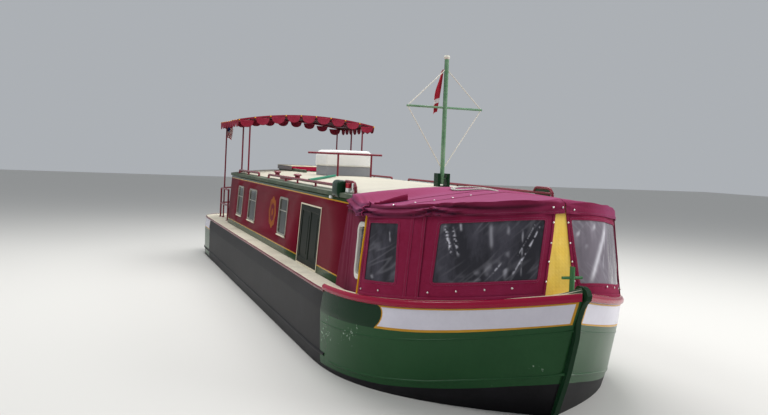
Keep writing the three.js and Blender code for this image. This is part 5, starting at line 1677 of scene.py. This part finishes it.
def makeRopeCoil(setting, under):
    surfaces = [BVHTree.FromPolygons([v.co for v in piece.data.vertices], [p.vertices for p in piece.data.polygons])
                for piece in under]
    path = []
    for i in range(setting["turns"] * setting["perTurn"] + 1):
        turn = i / setting["perTurn"]
        inset = setting["pitch"] * turn
        a = 2 * math.pi * turn
        aft = setting["centre"][0] + (setting["half"][0] - inset) * math.cos(a) + 0.004 * math.sin(3.1 * a)
        y = setting["centre"][1] + (setting["half"][1] - inset) * math.sin(a) + 0.005 * math.cos(2.3 * a)
        place = at(aft, y, 3)
        hits = [surface.ray_cast(place, -straightUp)[0] for surface in surfaces]
        place.z = max(hit.z for hit in hits if hit) + setting["diameter"] / 2 + setting["gap"]
        path.append(place)
    # twice smoothed, as a rope can't follow every wrinkle
    for _ in range(2):
        path[1:-1] = [a * 0.25 + b * 0.5 + c * 0.25 for a, b, c in zip(path, path[1:], path[2:])]
    bm = bmesh.new()
    uv = bm.loops.layers.uv.new("UVMap")
    count = setting["round"]
    grid = tube(bm, path, setting["diameter"], count)
    lengths = [0.0]
    for a, b in zip(path, path[1:]):
        lengths.append(lengths[-1] + (b - a).length)
    spots = {vert: (i, j) for i, ring in enumerate(grid) for j, vert in enumerate(ring)}
    for face in bm.faces:
        last = any(spots[loop.vert][1] == count - 1 for loop in face.loops)
        for loop in face.loops:
            i, j = spots[loop.vert]
            wrap = count if j == 0 and last else j
            loop[uv].uv = (lengths[i] * setting["ribsPerMetre"], wrap / count * setting["strands"])
    piece = fit(closeMesh("rope_coil", bm, "rope", crease=180), "grey_plastic")


makeRopeCoil(coil, [frontTop, aftTop])

# Small hung cloths: a striped ensign on the starboard canopy pole and a limp pennant on the mast
ensign = {"rows": 22, "columns": 18, "corner": (11.345, -1.172, 3.262), "width": 0.115, "drop": 0.235, "flat": 0.24,
          "thickness": 0.001, "looks": ["pennantCloth", "whiteCloth", "blueCloth"], "restsOn": "canopy_poles"}
pennant = {"rows": 28, "columns": 12, "drop": 0.49, "below": 0.045, "clear": 0.004, "flat": 0.49,
           "thickness": 0.0012, "looks": ["pennantCloth", "whiteCloth"], "restsOn": "mast_pole"}


def hangCloth(name, setting, place, lookOf, *replaced, body="hull"):
    bm = bmesh.new()
    gridFaces(bm, gridPoints(bm, setting["rows"], setting["columns"], place), look=lookOf)
    area = sum(face.calc_area() for face in bm.faces)
    piece = closeMesh(name, bm, *setting["looks"], crease=60, outwards=False)
    thickened(piece, setting["thickness"], side=0, crease=60)
    fit(piece, "pennant_cloth", *replaced, body=body)


def ensignPlace(v, u):
    aft, y, z = ensign["corner"]
    gather = 0.014 * math.sin(9 * u + 2 * v) * (0.3 + v)
    return at(aft + gather, y + ensign["width"] * u * (1 - 0.25 * v), z - ensign["drop"] * v - 0.05 * u * u)


# It hangs from its upper corner, narrow there and wider where the folds open
def pennantPlace(v, u):
    low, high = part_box("pennant")
    wide = 0.022 + 0.042 * smooth(v / 0.6) - 0.012 * smooth((v - 0.75) / 0.25)
    y = high.y - pennant["clear"] - 0.060 * v ** 1.3 - wide * (u + 0.10 * math.sin(5 * v) * u)
    x = low.x - pennant["clear"] - 0.010 * (1 + math.sin(7 * u + 4 * v)) * u
    return Vector((x, y, high.z - pennant["below"] - pennant["drop"] * v - 0.03 * u * u))


hangCloth("ensign", ensign, ensignPlace, lambda i, j: 2 if i < 10 and j < 8 else i // 2 % 2)
hangCloth("pennant_cloth", pennant, pennantPlace, lambda i, j: 1 if 19 <= i < 22 else 0, "pennant", body="mast")
print("roof gear, rope, ensign and pennant made")

# Pale floor at the waterline, soft studio light: most of it from above and from the port bow
studio = {
    "floor": "#cfcdc8", "floorSize": 60, "world": "#dfe4ea", "worldStrength": 0.56, "aim": (1, 0, 1.4),
    "lamps": {"key": ((9, 10, 9), 7, 1100), "fill": ((2.5, -8, 11), 4, 420), "top": ((-3, 1, 12), 9, 1500)},
}


def makeStudio(setting):
    bm = bmesh.new()
    bmesh.ops.create_grid(bm, x_segments=1, y_segments=1, size=setting["floorSize"])
    bmesh.ops.translate(bm, verts=bm.verts, vec=(0, 0, waterline))
    floor = newPiece("floor", meshFrom("floor", bm))
    startMaterial("matt studio floor", 0.7, Base_Color=colour(setting["floor"]))
    floor.data.materials.append(bpy.data.materials["matt studio floor"])
    scene.world = bpy.data.worlds.new("studio")
    scene.world.use_nodes = True
    background = scene.world.node_tree.nodes["Background"].inputs
    background["Color"].default_value = colour(setting["world"])
    background["Strength"].default_value = setting["worldStrength"]
    for name, (place, size, power) in setting["lamps"].items():
        data = bpy.data.lights.new(name, "AREA")
        data.size = size
        data.energy = power
        lamp = bpy.data.objects.new(name, data)
        lamp.location = place
        lamp.rotation_euler = (Vector(setting["aim"]) - Vector(place)).to_track_quat("-Z", "Y").to_euler()
        scene.collection.objects.link(lamp)
    scene.view_settings.view_transform = "Standard"


makeStudio(studio)
print("studio made")
